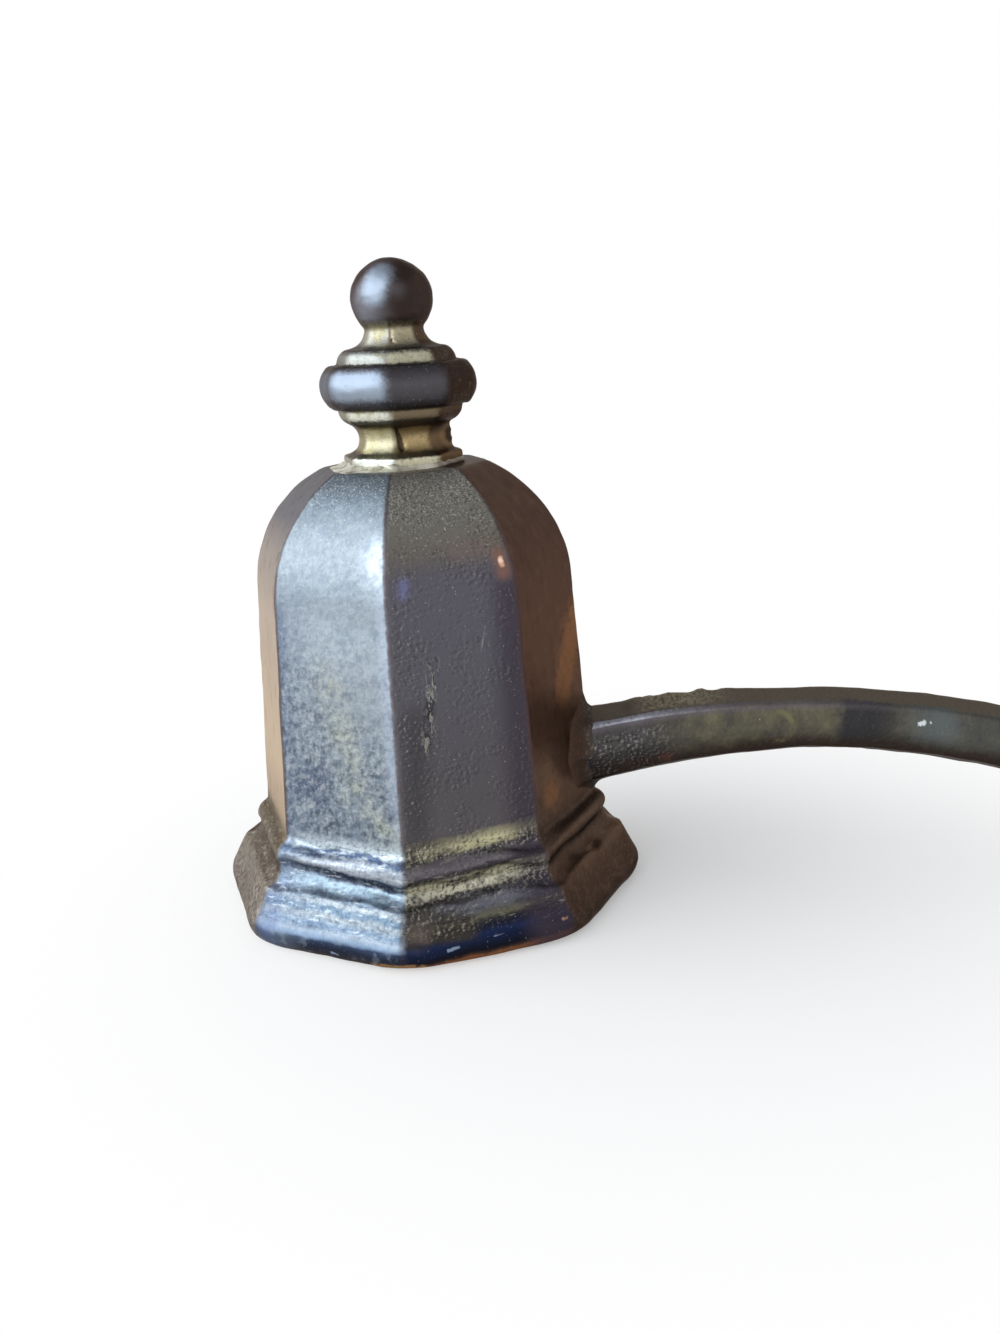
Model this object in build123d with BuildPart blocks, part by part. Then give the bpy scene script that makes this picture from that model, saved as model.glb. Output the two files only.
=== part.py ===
from build123d import *
import os
from math import cos, pi, radians, sin, sqrt, tan

os.makedirs("parts", exist_ok=True)

# A cast candle snuffer: an octagonal bell with a stepped foot, a knobbed finial on its crown and a long
# curved arm. The origin is the middle of the bell's mouth, on the plane that the bell stands on. +Z runs
# up the bell's axis and +X out along the arm, which leaves at a corner of the octagon. Millimetres.

# Octagon, with one corner on +X
side_count = 8

# Bell: foot moulding from the table up, each tier measured out from the wall above it
bell_flats = 27.4
roll_projection = 3.85
rim_inset = 0.35
roll_height = 2.1
step_setback = 0.4
band_height = 2.35
band_lean = 1.25
cove_height = 1.45
torus_projection = 1.0
torus_round = 0.2
torus_height = 1.5
lip_projection = 0.4
lip_height = 0.7
hollow_share = 0.3

# Bell: wall, dome and crown
wall_rise = 19.6
wall_draft = 3.2
wall_thickness = 2.2
dome_rise = 9.5
crown_flats = 13.0
mouth_overrun = 1.0

# Finial, from its foot on the crown up to the ball
foot_flats = 9.4
foot_rise = 1.0
neck_flats = 6.8
neck_rise = 2.4
cup_foot_flats = 8.3
cup_flats = 9.9
cup_rise = 1.4
collar_flats = 12.5
collar_edge_flats = 10.9
collar_rise = 3.5
step_flats = 9.5
step_top_flats = 8.6
step_rise = 1.2
throat_flats = 4.8
throat_rise = 1.55
ball_diameter = 6.65
solder_leg = 0.5

# Threaded stud, washer and nut that hold the finial
stud_diameter = 4.0
stud_grip = 6.8
stud_tail = 1.0
thread_clearance = 0.05
drill_point = 0.4
washer_diameter = 9.0
washer_thickness = 0.8
nut_flats = 7.0
nut_height = 3.2
nut_chamfer = 0.4

# Arm: rise from the bell, drop, dip to the table, lift and turned-over end
arm_height = 11.9
arm_root_flats = 6.4
arm_flats = 5.1
arm_tip_flats = 4.5
arm_rise_angle = 12.3
arch_radius = 84.0
drop_angle = 19.0
drop_radius = 66.0
lift_angle = 24.0
turn_angle = 34.0
turn_radius = 60.0
root_overlap = 3.0
tip_collar_flats = 6.6
tip_collar_length = 1.6
knop_diameter = 7.0

# Arm's tenon, riveted over a burr inside the bell, and the braze run round its root
tenon_diameter = 4.0
tenon_depth = 3.0
tenon_clearance = 0.05
seat_depth = 1.8
seat_diameter = 8.4
burr_diameter = 7.2
burr_thickness = 0.8
rivet_diameter = 6.0
rivet_height = 1.2
rivet_round = 0.9
braze_leg = 1.0
braze_reach = 1.3
braze_edge = 0.15

# Half widths across flats and heights that follow from the sizes above
corner_ratio = 1 / cos(pi / side_count)
facet_turns = [(number + 0.5) * 360 / side_count for number in range(side_count // 2)]

wall_half = bell_flats / 2
roll_half = wall_half + roll_projection
step_half = roll_half - step_setback
edge_half = step_half - band_lean
torus_half = wall_half + torus_projection
lip_half = wall_half + lip_projection
crown_half = crown_flats / 2
wall_lean = tan(radians(wall_draft))

band_top = roll_height + band_height
cove_top = band_top + cove_height
torus_top = cove_top + torus_height
wall_foot = torus_top + lip_height
spring_height = wall_foot + wall_rise
crown_height = spring_height + dome_rise
spring_half = wall_half - wall_rise * wall_lean

foot_top = crown_height + foot_rise
neck_top = foot_top + neck_rise
cup_top = neck_top + cup_rise
collar_top = cup_top + collar_rise
step_top = collar_top + step_rise
throat_top = step_top + throat_rise
ball_radius = ball_diameter / 2
ball_height = throat_top + sqrt(ball_radius**2 - (throat_flats / 2) ** 2)

stud_radius = stud_diameter / 2
stud_hole_radius = stud_radius + thread_clearance
washer_top = crown_height - wall_thickness
nut_top = washer_top - washer_thickness
stud_foot = nut_top - nut_height - stud_tail
stud_top = crown_height + stud_grip

arm_root_wall = wall_half - (arm_height - wall_foot) * wall_lean
arm_root_x = arm_root_wall * corner_ratio
inner_corner_x = (arm_root_wall - wall_thickness / cos(radians(wall_draft))) * corner_ratio
seat_x = inner_corner_x - seat_depth
rivet_x = seat_x - burr_thickness
knop_rise = sqrt((knop_diameter / 2) ** 2 - (arm_tip_flats / 2) ** 2)
tenon_radius = tenon_diameter / 2
tenon_hole_radius = tenon_radius + tenon_clearance


def facet_plane(turn):
    """The upright plane through the axis that is square to a pair of facets."""
    across = (cos(radians(turn)), sin(radians(turn)), 0)
    along = (sin(radians(turn)), -cos(radians(turn)), 0)
    return Plane(origin=(0, 0, 0), x_dir=across, z_dir=along)


def octagonal(draw_outline, reach):
    """Extrude an outline across each pair of facets and keep what all the pairs share."""
    for number, turn in enumerate(facet_turns):
        with BuildSketch(facet_plane(turn)) as outline:
            with BuildLine():
                draw_outline()
            make_face()
            mirror(about=Plane.YZ)
        extrude(outline.sketch, amount=reach, both=True, mode=Mode.INTERSECT if number else Mode.ADD)


def hollow_arc(low, high):
    """A concave quarter between two points of an outline, bowed towards the axis and down."""
    middle = (
        high[0] + (low[0] - high[0]) * hollow_share,
        low[1] + (high[1] - low[1]) * hollow_share,
    )
    ThreePointArc(low, middle, high)


def bell_outline():
    """Half of the bell's outside: roll, band, cove, torus and lip of the foot, then wall and dome."""
    wall_start = (wall_half, wall_foot)
    wall_end = (spring_half, spring_height)
    Line((0, 0), (roll_half - rim_inset, 0))
    ThreePointArc((roll_half - rim_inset, 0), (roll_half, roll_height / 2), (step_half, roll_height))
    Line((step_half, roll_height), (edge_half, band_top))
    hollow_arc((edge_half, band_top), (torus_half - torus_round, cove_top))
    ThreePointArc(
        (torus_half - torus_round, cove_top),
        (torus_half, cove_top + torus_height / 2),
        (lip_half, torus_top),
    )
    hollow_arc((lip_half, torus_top), wall_start)
    wall = Line(wall_start, wall_end)
    TangentArc(wall_end, (crown_half, crown_height), tangent=wall % 1)
    Line((crown_half, crown_height), (0, crown_height))
    Line((0, crown_height), (0, 0))


def wall_outline():
    """Half of the plain wall and dome, run on below the mouth, from which the hollow is set in."""
    low = -wall_thickness - mouth_overrun
    wall_start = (wall_half + (wall_foot - low) * wall_lean, low)
    wall_end = (spring_half, spring_height)
    Line((0, low), wall_start)
    wall = Line(wall_start, wall_end)
    TangentArc(wall_end, (crown_half, crown_height), tangent=wall % 1)
    Line((crown_half, crown_height), (0, crown_height))
    Line((0, crown_height), (0, low))


# Bell form: the outside of the bell as a solid
with BuildPart() as bell_form:
    octagonal(bell_outline, roll_half)

# Hollow of the bell, one wall thickness inside the wall and dome
with BuildPart() as bell_hollow:
    for number, turn in enumerate(facet_turns):
        with BuildSketch(facet_plane(turn)):
            with BuildLine():
                wall_outline()
            make_face()
            mirror(about=Plane.YZ)
            offset(amount=-wall_thickness, kind=Kind.INTERSECTION)
        extrude(amount=roll_half, both=True, mode=Mode.INTERSECT if number else Mode.ADD)

# Bell casting: wall, dome and foot in one, with a flat seat for the burr inside its +X corner
with BuildPart() as bell_casting:
    add(bell_form.part)
    add(bell_hollow.part, mode=Mode.SUBTRACT)
    with BuildSketch(Plane.YZ.offset(seat_x)):
        with Locations((0, arm_height)):
            Circle(seat_diameter / 2)
    extrude(amount=seat_depth)
    with BuildSketch(Plane.YZ.offset(seat_x)):
        with Locations((0, arm_height)):
            Circle(tenon_hole_radius)
    extrude(amount=arm_root_x, mode=Mode.SUBTRACT)
    with BuildSketch(Plane.XY.offset(washer_top)):
        Circle(stud_hole_radius)
    extrude(amount=crown_height, mode=Mode.SUBTRACT)
bell_casting.part.label = "bell_casting"
export_step(bell_casting.part, "parts/bell_casting.step")


def finial_outline():
    """Half of the finial below its ball: foot, waisted neck, cup, round collar, step and throat."""
    foot = foot_flats / 2
    neck = neck_flats / 2
    cup_foot = cup_foot_flats / 2
    cup = cup_flats / 2
    collar_edge = collar_edge_flats / 2
    step = step_flats / 2
    step_edge = step_top_flats / 2
    throat = throat_flats / 2
    Line((0, crown_height), (foot, crown_height))
    Line((foot, crown_height), (foot, foot_top))
    ThreePointArc((foot, foot_top), (neck, foot_top + neck_rise / 2), (cup_foot, neck_top))
    Line((cup_foot, neck_top), (cup, cup_top))
    Line((cup, cup_top), (collar_edge, cup_top))
    ThreePointArc(
        (collar_edge, cup_top),
        (collar_flats / 2, cup_top + collar_rise / 2),
        (collar_edge, collar_top),
    )
    Line((collar_edge, collar_top), (step, collar_top))
    Line((step, collar_top), (step_edge, step_top))
    ThreePointArc(
        (step_edge, step_top),
        (throat + (step_edge - throat) * hollow_share, step_top + throat_rise * hollow_share),
        (throat, throat_top),
    )
    Line((throat, throat_top), (throat, ball_height))
    Line((throat, ball_height), (0, ball_height))
    Line((0, ball_height), (0, crown_height))


# Finial: eight-sided to the throat, with a round ball on top and a blind threaded hole in its foot
with BuildPart() as finial:
    octagonal(finial_outline, collar_flats / 2)
    with Locations((0, 0, ball_height)):
        Sphere(ball_radius)
    with BuildSketch(Plane.XY.offset(crown_height)):
        Circle(stud_hole_radius)
    extrude(amount=stud_grip + drill_point, mode=Mode.SUBTRACT)
finial.part.label = "finial"
export_step(finial.part, "parts/finial.step")


def solder_outline():
    """Half of a low bevelled plinth: the solder run round the finial's foot, foot included."""
    foot = foot_flats / 2
    Line((0, crown_height), (foot + solder_leg, crown_height))
    Line((foot + solder_leg, crown_height), (foot, crown_height + solder_leg))
    Line((foot, crown_height + solder_leg), (0, crown_height + solder_leg))
    Line((0, crown_height + solder_leg), (0, crown_height))


# Solder run that seals the finial's foot to the crown
with BuildPart() as finial_solder:
    octagonal(solder_outline, foot_flats)
    with BuildSketch(Plane.XY.offset(crown_height)):
        RegularPolygon(foot_flats / 2, side_count, major_radius=False)
    extrude(amount=solder_leg, mode=Mode.SUBTRACT)
finial_solder.part.label = "finial_solder"
export_step(finial_solder.part, "parts/finial_solder.step")

# Threaded stud, from inside the collar down through the crown and the nut
with BuildPart() as finial_stud:
    with BuildSketch(Plane.XY.offset(stud_foot)):
        Circle(stud_radius)
    extrude(amount=stud_top - stud_foot)
    chamfer(finial_stud.faces().filter_by(Axis.Z).edges(), length=drill_point)
finial_stud.part.label = "finial_stud"
export_step(finial_stud.part, "parts/finial_stud.step")

# Washer, flat against the inside of the crown
with BuildPart() as finial_washer:
    with BuildSketch(Plane.XY.offset(nut_top)):
        Circle(washer_diameter / 2)
        Circle(stud_hole_radius, mode=Mode.SUBTRACT)
    extrude(amount=washer_thickness)
finial_washer.part.label = "finial_washer"
export_step(finial_washer.part, "parts/finial_washer.step")

# Hexagon nut, tightened against the washer
with BuildPart() as finial_nut:
    with BuildSketch(Plane.XY.offset(nut_top - nut_height)):
        RegularPolygon(nut_flats / 2, 6, major_radius=False)
    extrude(amount=nut_height)
    chamfer(finial_nut.faces().sort_by(Axis.Z)[0].edges(), length=nut_chamfer)
    with BuildSketch(Plane.XY.offset(nut_top - nut_height)):
        Circle(stud_hole_radius)
    extrude(amount=nut_height, mode=Mode.SUBTRACT)
finial_nut.part.label = "finial_nut"
export_step(finial_nut.part, "parts/finial_nut.step")

# Arm's centre line in the upright plane through the bell's axis: a low arch off the bell, a drop whose
# bend is taken up by a long dip that lays the arm's lowest corner on the table, and a turned-over end
with BuildLine(Plane.XZ) as arm_line:
    rise = radians(arm_rise_angle)
    arch = JernArc((arm_root_x, arm_height), (cos(rise), sin(rise)), arch_radius, -arm_rise_angle)
    drop = JernArc(arch @ 1, arch % 1, drop_radius, -drop_angle)
    dip_fall = (drop @ 1).Z - arm_flats / 2 * corner_ratio
    dip_radius = dip_fall / (1 - cos(radians(drop_angle)))
    dip = JernArc(drop @ 1, drop % 1, dip_radius, drop_angle)
    lift = JernArc(dip @ 1, dip % 1, dip_radius, lift_angle)
    turn = JernArc(lift @ 1, lift % 1, turn_radius, -turn_angle)


def arm_section(point, tangent, flats):
    """An octagon square to the arm's centre line, with a corner at its top and bottom."""
    with BuildSketch(Plane(origin=point, x_dir=(0, 1, 0), z_dir=tangent)) as section:
        RegularPolygon(flats / 2, side_count, major_radius=False)
    return section.sketch


def arm_stations(curve, count, start_flats, end_flats):
    """Sections spaced evenly along one arc of the centre line, after its first point."""
    shares = [number / count for number in range(1, count + 1)]
    taper = end_flats - start_flats
    return [arm_section(curve @ share, curve % share, start_flats + taper * share) for share in shares]


# Arm casting: tapered octagonal bar, filed to sit over the bell's corner, with a knop on its end and a
# round tenon through the wall whose end is riveted over the burr
with BuildPart() as handle_arm:
    sections = [
        arm_section((arch @ 0) - (arch % 0) * root_overlap, arch % 0, arm_root_flats),
        arm_section(arch @ 0, arch % 0, arm_root_flats),
        *arm_stations(arch, 3, arm_root_flats, arm_flats),
        *arm_stations(drop, 2, arm_flats, arm_flats),
        *arm_stations(dip, 3, arm_flats, arm_flats),
        *arm_stations(lift, 3, arm_flats, arm_tip_flats),
        *arm_stations(turn, 3, arm_tip_flats, arm_tip_flats),
    ]
    loft(sections)
    extrude(arm_section(turn @ 1, turn % 1, tip_collar_flats), amount=tip_collar_length)
    with Locations((turn @ 1) + (turn % 1) * (tip_collar_length + knop_rise)):
        Sphere(knop_diameter / 2)
    add(bell_form.part, mode=Mode.SUBTRACT)
    with BuildSketch(Plane.YZ.offset(rivet_x)):
        with Locations((0, arm_height)):
            Circle(tenon_radius)
    extrude(amount=arm_root_x + tenon_depth - rivet_x)
    with BuildSketch(Plane.YZ.offset(rivet_x)):
        with Locations((0, arm_height)):
            Circle(rivet_diameter / 2)
    extrude(amount=-rivet_height)
    rivet_face = handle_arm.faces().filter_by(Axis.X).sort_by(Axis.X)[0]
    fillet(rivet_face.edges(), radius=rivet_round)
handle_arm.part.label = "handle_arm"
export_step(handle_arm.part, "parts/handle_arm.step")

# Burr: the washer inside the bell that the tenon is riveted over
with BuildPart() as handle_burr:
    with BuildSketch(Plane.YZ.offset(rivet_x)):
        with Locations((0, arm_height)):
            Circle(burr_diameter / 2)
            Circle(tenon_hole_radius, mode=Mode.SUBTRACT)
    extrude(amount=burr_thickness)
handle_burr.part.label = "handle_burr"
export_step(handle_burr.part, "parts/handle_burr.step")

# Braze run round the arm's root, thick against the bell and feathered out along the arm
with BuildPart() as handle_braze:
    thick_end = arm_section((arch @ 0) - (arch % 0) * root_overlap, arch % 0, arm_root_flats + 2 * braze_leg)
    thin_end = arm_section((arch @ 0) + (arch % 0) * braze_reach, arch % 0, arm_root_flats + 2 * braze_edge)
    loft([thick_end, thin_end])
    add(bell_form.part, mode=Mode.SUBTRACT)
    add(handle_arm.part, mode=Mode.SUBTRACT)
handle_braze.part.label = "handle_braze"
export_step(handle_braze.part, "parts/handle_braze.step")
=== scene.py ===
import bpy
import numpy as np
from mathutils import Matrix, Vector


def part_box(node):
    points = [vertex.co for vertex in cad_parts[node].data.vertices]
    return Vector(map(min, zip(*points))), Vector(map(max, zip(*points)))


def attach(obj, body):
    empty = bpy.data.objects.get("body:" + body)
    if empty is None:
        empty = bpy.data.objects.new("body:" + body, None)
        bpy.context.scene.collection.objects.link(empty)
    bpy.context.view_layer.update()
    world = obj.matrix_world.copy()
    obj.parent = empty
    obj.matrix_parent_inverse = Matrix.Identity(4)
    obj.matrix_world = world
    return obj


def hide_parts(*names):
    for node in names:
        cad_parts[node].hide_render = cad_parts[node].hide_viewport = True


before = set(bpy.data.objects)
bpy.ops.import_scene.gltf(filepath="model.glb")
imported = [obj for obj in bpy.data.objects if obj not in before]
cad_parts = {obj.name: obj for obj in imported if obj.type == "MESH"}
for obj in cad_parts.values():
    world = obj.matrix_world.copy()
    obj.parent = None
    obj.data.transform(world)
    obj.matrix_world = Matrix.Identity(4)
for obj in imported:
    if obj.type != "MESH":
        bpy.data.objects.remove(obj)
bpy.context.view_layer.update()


# Bell. The snuffer's hollow cap: one octagonal brass casting with a stepped foot, a drafted wall and a
# rounded dome, sand-cast and patinated dark. A stud through its flat crown holds the finial, and a seat
# inside its +X corner takes the arm's riveted tenon. Sizes are millimetres, half widths across flats.
MM = 0.001
CORNER = 1 / np.cos(np.pi / 8)

CROWN_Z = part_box("bell_casting")[1].z / MM
RIM_HALF, ROLL_HALF, STEP_HALF, EDGE_HALF = 17.2, 17.55, 17.15, 15.9
TORUS_FOOT_HALF, TORUS_HALF, LIP_HALF, WALL_HALF = 14.5, 14.7, 14.1, 13.7
ROLL_Z, BAND_Z, COVE_Z, TORUS_Z, WALL_Z, SPRING_Z = 2.1, 4.45, 5.9, 7.4, 8.1, 27.7
WALL_LEAN = np.tan(np.radians(3.2))
WALL_THICK = 2.2
SPRING_HALF = WALL_HALF - (SPRING_Z - WALL_Z) * WALL_LEAN
CROWN_HALF = 6.5
STUD_HOLE = 2.05
HOLLOW_SHARE = 0.3
ARM_Z = 11.9
SEAT_X = 10.4
SEAT_RADIUS = 3.9
SEAT_FLANK = 4.0
CHIP = (1.1, -17.7, 2.7)
SUNK_SLOPE = 0.08
DENSE = 0.02


def stretch(start, end, turn=0.0):
    """Points close together from start to end on an arc that turns by the given angle, as half width plus
    i times height. A share s of the arc lies at start + chord (e^(i turn s) - 1) / (e^(i turn) - 1)."""
    chord = end - start
    share = np.linspace(0, 1, 2 + int(abs(chord) / DENSE))[:-1]
    if abs(turn) < 1e-6:
        return start + chord * share
    return start + chord * (np.exp(1j * turn * share) - 1) / (np.exp(1j * turn) - 1)


def arc(start, middle, end):
    """The arc through three points: it turns by twice the angle between its two chords."""
    return stretch(start, end, 2 * np.angle((end - middle) / (middle - start)))


def hollow(low, high):
    """A concave quarter between two points, bowed in and down."""
    middle = complex(
        high.real + (low.real - high.real) * HOLLOW_SHARE,
        low.imag + (high.imag - low.imag) * HOLLOW_SHARE,
    )
    return arc(low, middle, high)


def even(line, gap):
    """The same line again with points spaced by gap, an array or one number, measured along it."""
    length = np.abs(np.diff(line))
    paces = length / np.broadcast_to(gap, line.shape)[:-1]
    walked = np.concatenate([[0], np.cumsum(paces)])
    wanted = np.linspace(0, walked[-1], max(3, int(walked[-1]) + 1))
    return np.interp(wanted, walked, line.real) + 1j * np.interp(wanted, walked, line.imag)


def soften(loop, reach):
    """A closed line blurred along its length by a bell curve of that reach, which rounds its corners."""
    cycles = np.fft.fftfreq(len(loop), DENSE)
    return np.fft.ifft(np.fft.fft(loop) * np.exp(-2 * (np.pi * cycles * reach) ** 2))


def octagon_ring(flat_steps, corner_steps):
    """Points once round an octagon with a corner on +X, as half A + rounding B + round C.
    A flat's point at share s is half (n + s T t) - rounding s T t, with T the tangent of 22.5 degrees, and
    a corner's point turns about a centre that stands off the corner by the rounding. Also gives each
    point's unit direction, for circles, and its nearness to a corner."""
    tangent_share = np.tan(np.pi / 8)
    share = np.linspace(-1, 1, flat_steps)
    turn = np.arange(1, corner_steps + 1) / (corner_steps + 1) * np.pi / 4
    facing = np.exp(1j * (np.arange(8)[:, None] + 0.5) * np.pi / 4)
    corner = facing * np.exp(1j * np.pi / 8) * CORNER
    flat_a = facing * (1 + 1j * share * tangent_share)
    flat_b = facing * (-1j * share * tangent_share)
    corner_a = np.repeat(corner, corner_steps, axis=1)
    corner_b = facing * np.exp(1j * turn) - corner_a
    ring_a = np.hstack([flat_a, corner_a]).ravel()
    ring_b = np.hstack([flat_b, corner_b]).ravel()
    direction = ring_a + 0.15 * ring_b
    near = np.tile(np.concatenate([np.abs(share), np.ones(corner_steps)]), 8)
    return ring_a, ring_b, direction / np.abs(direction), near


def rings(half, rounding, roundness, ring):
    """A ring for each half width: a rounded octagon at roundness 0, blending to a circle at 1."""
    ring_a, ring_b, direction, _ = ring
    octagon = half[:, None] * ring_a + rounding[:, None] * ring_b
    return octagon * (1 - roundness[:, None]) + half[:, None] * direction * roundness[:, None]


def upright(plan, height):
    """Rings of plan points set level, each at its height."""
    return np.stack([plan.real, plan.imag, np.broadcast_to(height[:, None], plan.shape)], -1)


def swell(points, size, seed):
    """A smooth random field of about unit spread: 36 cosine waves of lengths near size, summed."""
    draw = np.random.default_rng(seed)
    ways = draw.normal(size=(36, 3))
    ways /= np.linalg.norm(ways, axis=1)[:, None]
    waves = 2 * np.pi * ways / (size * draw.uniform(0.7, 1.6, 36))[:, None]
    return np.cos(points @ waves.T + draw.uniform(0, 2 * np.pi, 36)).sum(-1) / np.sqrt(18)


def s_curve(value, low, high):
    """0 below low, 1 above high and a smooth step between them."""
    share = np.clip((value - low) / (high - low), 0, 1)
    return share * share * (3 - 2 * share)


def outward(points, looped):
    """Unit normals of a grid of closed rings, from the cross product of its two central differences."""
    along = np.gradient(points, axis=0)
    if looped:
        along = np.roll(points, -1, 0) - np.roll(points, 1, 0)
    around = np.roll(points, -1, 1) - np.roll(points, 1, 1)
    normal = np.cross(along, around)
    return normal / np.maximum(np.linalg.norm(normal, axis=-1), 1e-9)[..., None]


def ring_piece(name, points, looped, traits):
    """A mesh from a grid of closed rings in millimetres. Its ends meet if it is looped, and otherwise its
    first and last rings close in a fan on their middle. Traits become attributes of the points."""
    rows, columns = points.shape[:2]
    index = np.arange(rows * columns).reshape(rows, columns)
    above = index if looped else index[:-1]
    below = np.roll(index, -1, 0) if looped else index[1:]
    quads = np.stack([above, below, np.roll(below, -1, 1), np.roll(above, -1, 1)], -1).reshape(-1, 4)
    places = points.reshape(-1, 3)
    fans = np.zeros((0, 3), int)
    if not looped:
        first, last = index[0], index[-1]
        tip = np.full(columns, rows * columns)
        fans = np.vstack([
            np.stack([tip, first, np.roll(first, -1)], -1),
            np.stack([tip + 1, np.roll(last, -1), last], -1),
        ])
        places = np.vstack([places, points[0].mean(0), points[-1].mean(0)])
    corners = np.concatenate([quads[:, :3], quads[:, [0, 2, 3]], fans])
    a, b, c = (places[corners[:, k]] for k in range(3))
    if np.einsum("ij,ij->i", a, np.cross(b, c)).sum() < 0:
        quads, fans = quads[:, ::-1], fans[:, ::-1]
    mesh = bpy.data.meshes.new(name)
    mesh.from_pydata((places * MM).tolist(), [], quads.tolist() + fans.tolist())
    mesh.polygons.foreach_set("use_smooth", np.ones(len(mesh.polygons), bool))
    for trait, values in traits.items():
        values = np.broadcast_to(values, (rows, columns))
        ends = [] if looped else [values[0].mean(), values[-1].mean()]
        layer = mesh.attributes.new(trait, "FLOAT", "POINT")
        layer.data.foreach_set("value", np.concatenate([values.ravel(), ends]).astype(np.float32))
    mesh.validate()
    piece = bpy.data.objects.new(name, mesh)
    bpy.context.scene.collection.objects.link(piece)
    return piece


def bell_outline():
    """The bell's section as a closed line: crown, dome, wall and foot outside, then mouth and hollow."""
    crown_edge = complex(CROWN_HALF, CROWN_Z)
    spring = complex(SPRING_HALF, SPRING_Z)
    wall_foot = complex(WALL_HALF, WALL_Z)
    wall_way = (spring - wall_foot) / abs(spring - wall_foot)
    dome_turn = 2 * np.angle((crown_edge - spring) / wall_way)
    dome = stretch(spring, crown_edge, dome_turn)
    dome_radius = abs(crown_edge - spring) / (2 * np.sin(dome_turn / 2))
    dome_centre = spring + 1j * wall_way * dome_radius
    inset = 1j * wall_way * WALL_THICK
    mouth = complex((wall_foot + inset).real + (wall_foot + inset).imag * WALL_LEAN, 0)
    inner_crown_z = CROWN_Z - WALL_THICK
    inner_radius = dome_radius - WALL_THICK
    inner_reach = np.sqrt(inner_radius**2 - (inner_crown_z - dome_centre.imag) ** 2)
    inner_edge = complex(dome_centre.real + inner_reach, inner_crown_z)
    inner_spring = spring + inset
    inner_turn = 2 * np.angle((inner_edge - inner_spring) / wall_way)
    torus_foot = complex(TORUS_FOOT_HALF, COVE_Z)
    lip = complex(LIP_HALF, TORUS_Z)
    band_edge = complex(EDGE_HALF, BAND_Z)
    step = complex(STEP_HALF, ROLL_Z)
    rim = complex(RIM_HALF, 0)
    foot = [
        arc(rim, complex(ROLL_HALF, ROLL_Z / 2), step),
        stretch(step, band_edge),
        hollow(band_edge, torus_foot),
        arc(torus_foot, complex(TORUS_HALF, (COVE_Z + TORUS_Z) / 2), lip),
        hollow(lip, wall_foot),
        stretch(wall_foot, spring),
        dome,
        stretch(crown_edge, complex(STUD_HOLE, CROWN_Z)),
    ]
    inside = [
        stretch(complex(STUD_HOLE, CROWN_Z), complex(STUD_HOLE, inner_crown_z)),
        stretch(complex(STUD_HOLE, inner_crown_z), inner_edge),
        stretch(inner_spring, inner_edge, inner_turn)[::-1],
        stretch(inner_spring, mouth),
        stretch(mouth, rim),
    ]
    return np.concatenate(foot + inside)[::-1]


BELL_BLUR = 0.13
WAVE_DEPTH, SKIN_DEPTH, FOOT_WAVER = 0.035, 0.010, 0.15
CHIP_DEPTH, CHIP_REACH, NICK_DEPTH, WORN_REACH = 0.26, 1.2, 0.14, 0.35
bell_loop = even(bell_outline(), DENSE)[:-1]
bell_soft = soften(bell_loop, BELL_BLUR)
bell_outside = bell_soft.real > np.interp(
    bell_soft.imag, [0, WALL_Z, SPRING_Z, CROWN_Z - 1.2], [14.0, 12.4, 11.2, 0]
)
bell_gap = np.where(bell_outside, np.where(bell_soft.imag < WALL_Z + 1, 0.15, 0.36), 0.75)
bell_line = even(bell_soft, bell_gap)[:-1]
steps_along = np.abs(bell_soft - bell_line[:, None]).argmin(1)
bell_ring = octagon_ring(24, 7)
half, height = bell_line.real, bell_line.imag
bell_rounding = np.interp(
    height,
    [0, 0.8, ROLL_Z, BAND_Z, COVE_Z, TORUS_Z, WALL_Z, SPRING_Z, CROWN_Z],
    [6.5, 5.5, 3.0, 1.6, 0.9, 0.8, 0.6, 0.65, 1.1],
)
bell_rounding = np.minimum(bell_rounding, half * 0.5)
bell_roundness = 1 - s_curve(half, STUD_HOLE + 0.2, CROWN_HALF - 0.9)
plan = rings(half, bell_rounding, bell_roundness, bell_ring)
bell_points = upright(plan, height)
shown = bell_outside[steps_along][:, None]
foot_share = (1 - s_curve(height, TORUS_Z, WALL_Z + 1.5))[:, None] * s_curve(height, 0.2, 1.5)[:, None]
bell_normal = outward(bell_points, True)
casting_wave = WAVE_DEPTH * swell(bell_points, 8.0, 3) + SKIN_DEPTH * swell(bell_points, 1.7, 4)
bell_points = bell_points + bell_normal * (casting_wave * shown)[..., None]
bell_points[..., 2] += FOOT_WAVER * swell(bell_points, 5.0, 5) * foot_share * shown
facing = np.degrees(np.arctan2(bell_points[..., 1], bell_points[..., 0]))
on_left = s_curve(facing, -136.0, -131.0) * s_curve(facing, -89.5, -92.5)
along = bell_points[..., 0] * np.cos(np.pi / 8) - bell_points[..., 1] * np.sin(np.pi / 8)
sunk = (s_curve(height, 4.7, 5.6) * s_curve(height, 7.2, 6.4))[:, None]
bell_points[..., 2] -= SUNK_SLOPE * along * sunk * on_left * shown
from_chip = np.linalg.norm(bell_points - np.array(CHIP), axis=-1)
worn_edge = sum(np.exp(-(((height - edge) / WORN_REACH) ** 2)) for edge in (BAND_Z, ROLL_Z))
nicks = s_curve(swell(bell_points, 1.6, 6), 0.9, 2.2) * worn_edge[:, None] * shown
dents = CHIP_DEPTH * np.exp(-((from_chip / CHIP_REACH) ** 2)) + NICK_DEPTH * nicks
bell_points = bell_points - bell_normal * dents[..., None]
from_seat = np.hypot(bell_points[..., 1], bell_points[..., 2] - ARM_Z)
seat_limit = SEAT_X + SEAT_FLANK * np.maximum(from_seat - SEAT_RADIUS, 0)
inner_x = np.minimum(bell_points[..., 0], seat_limit)
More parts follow.
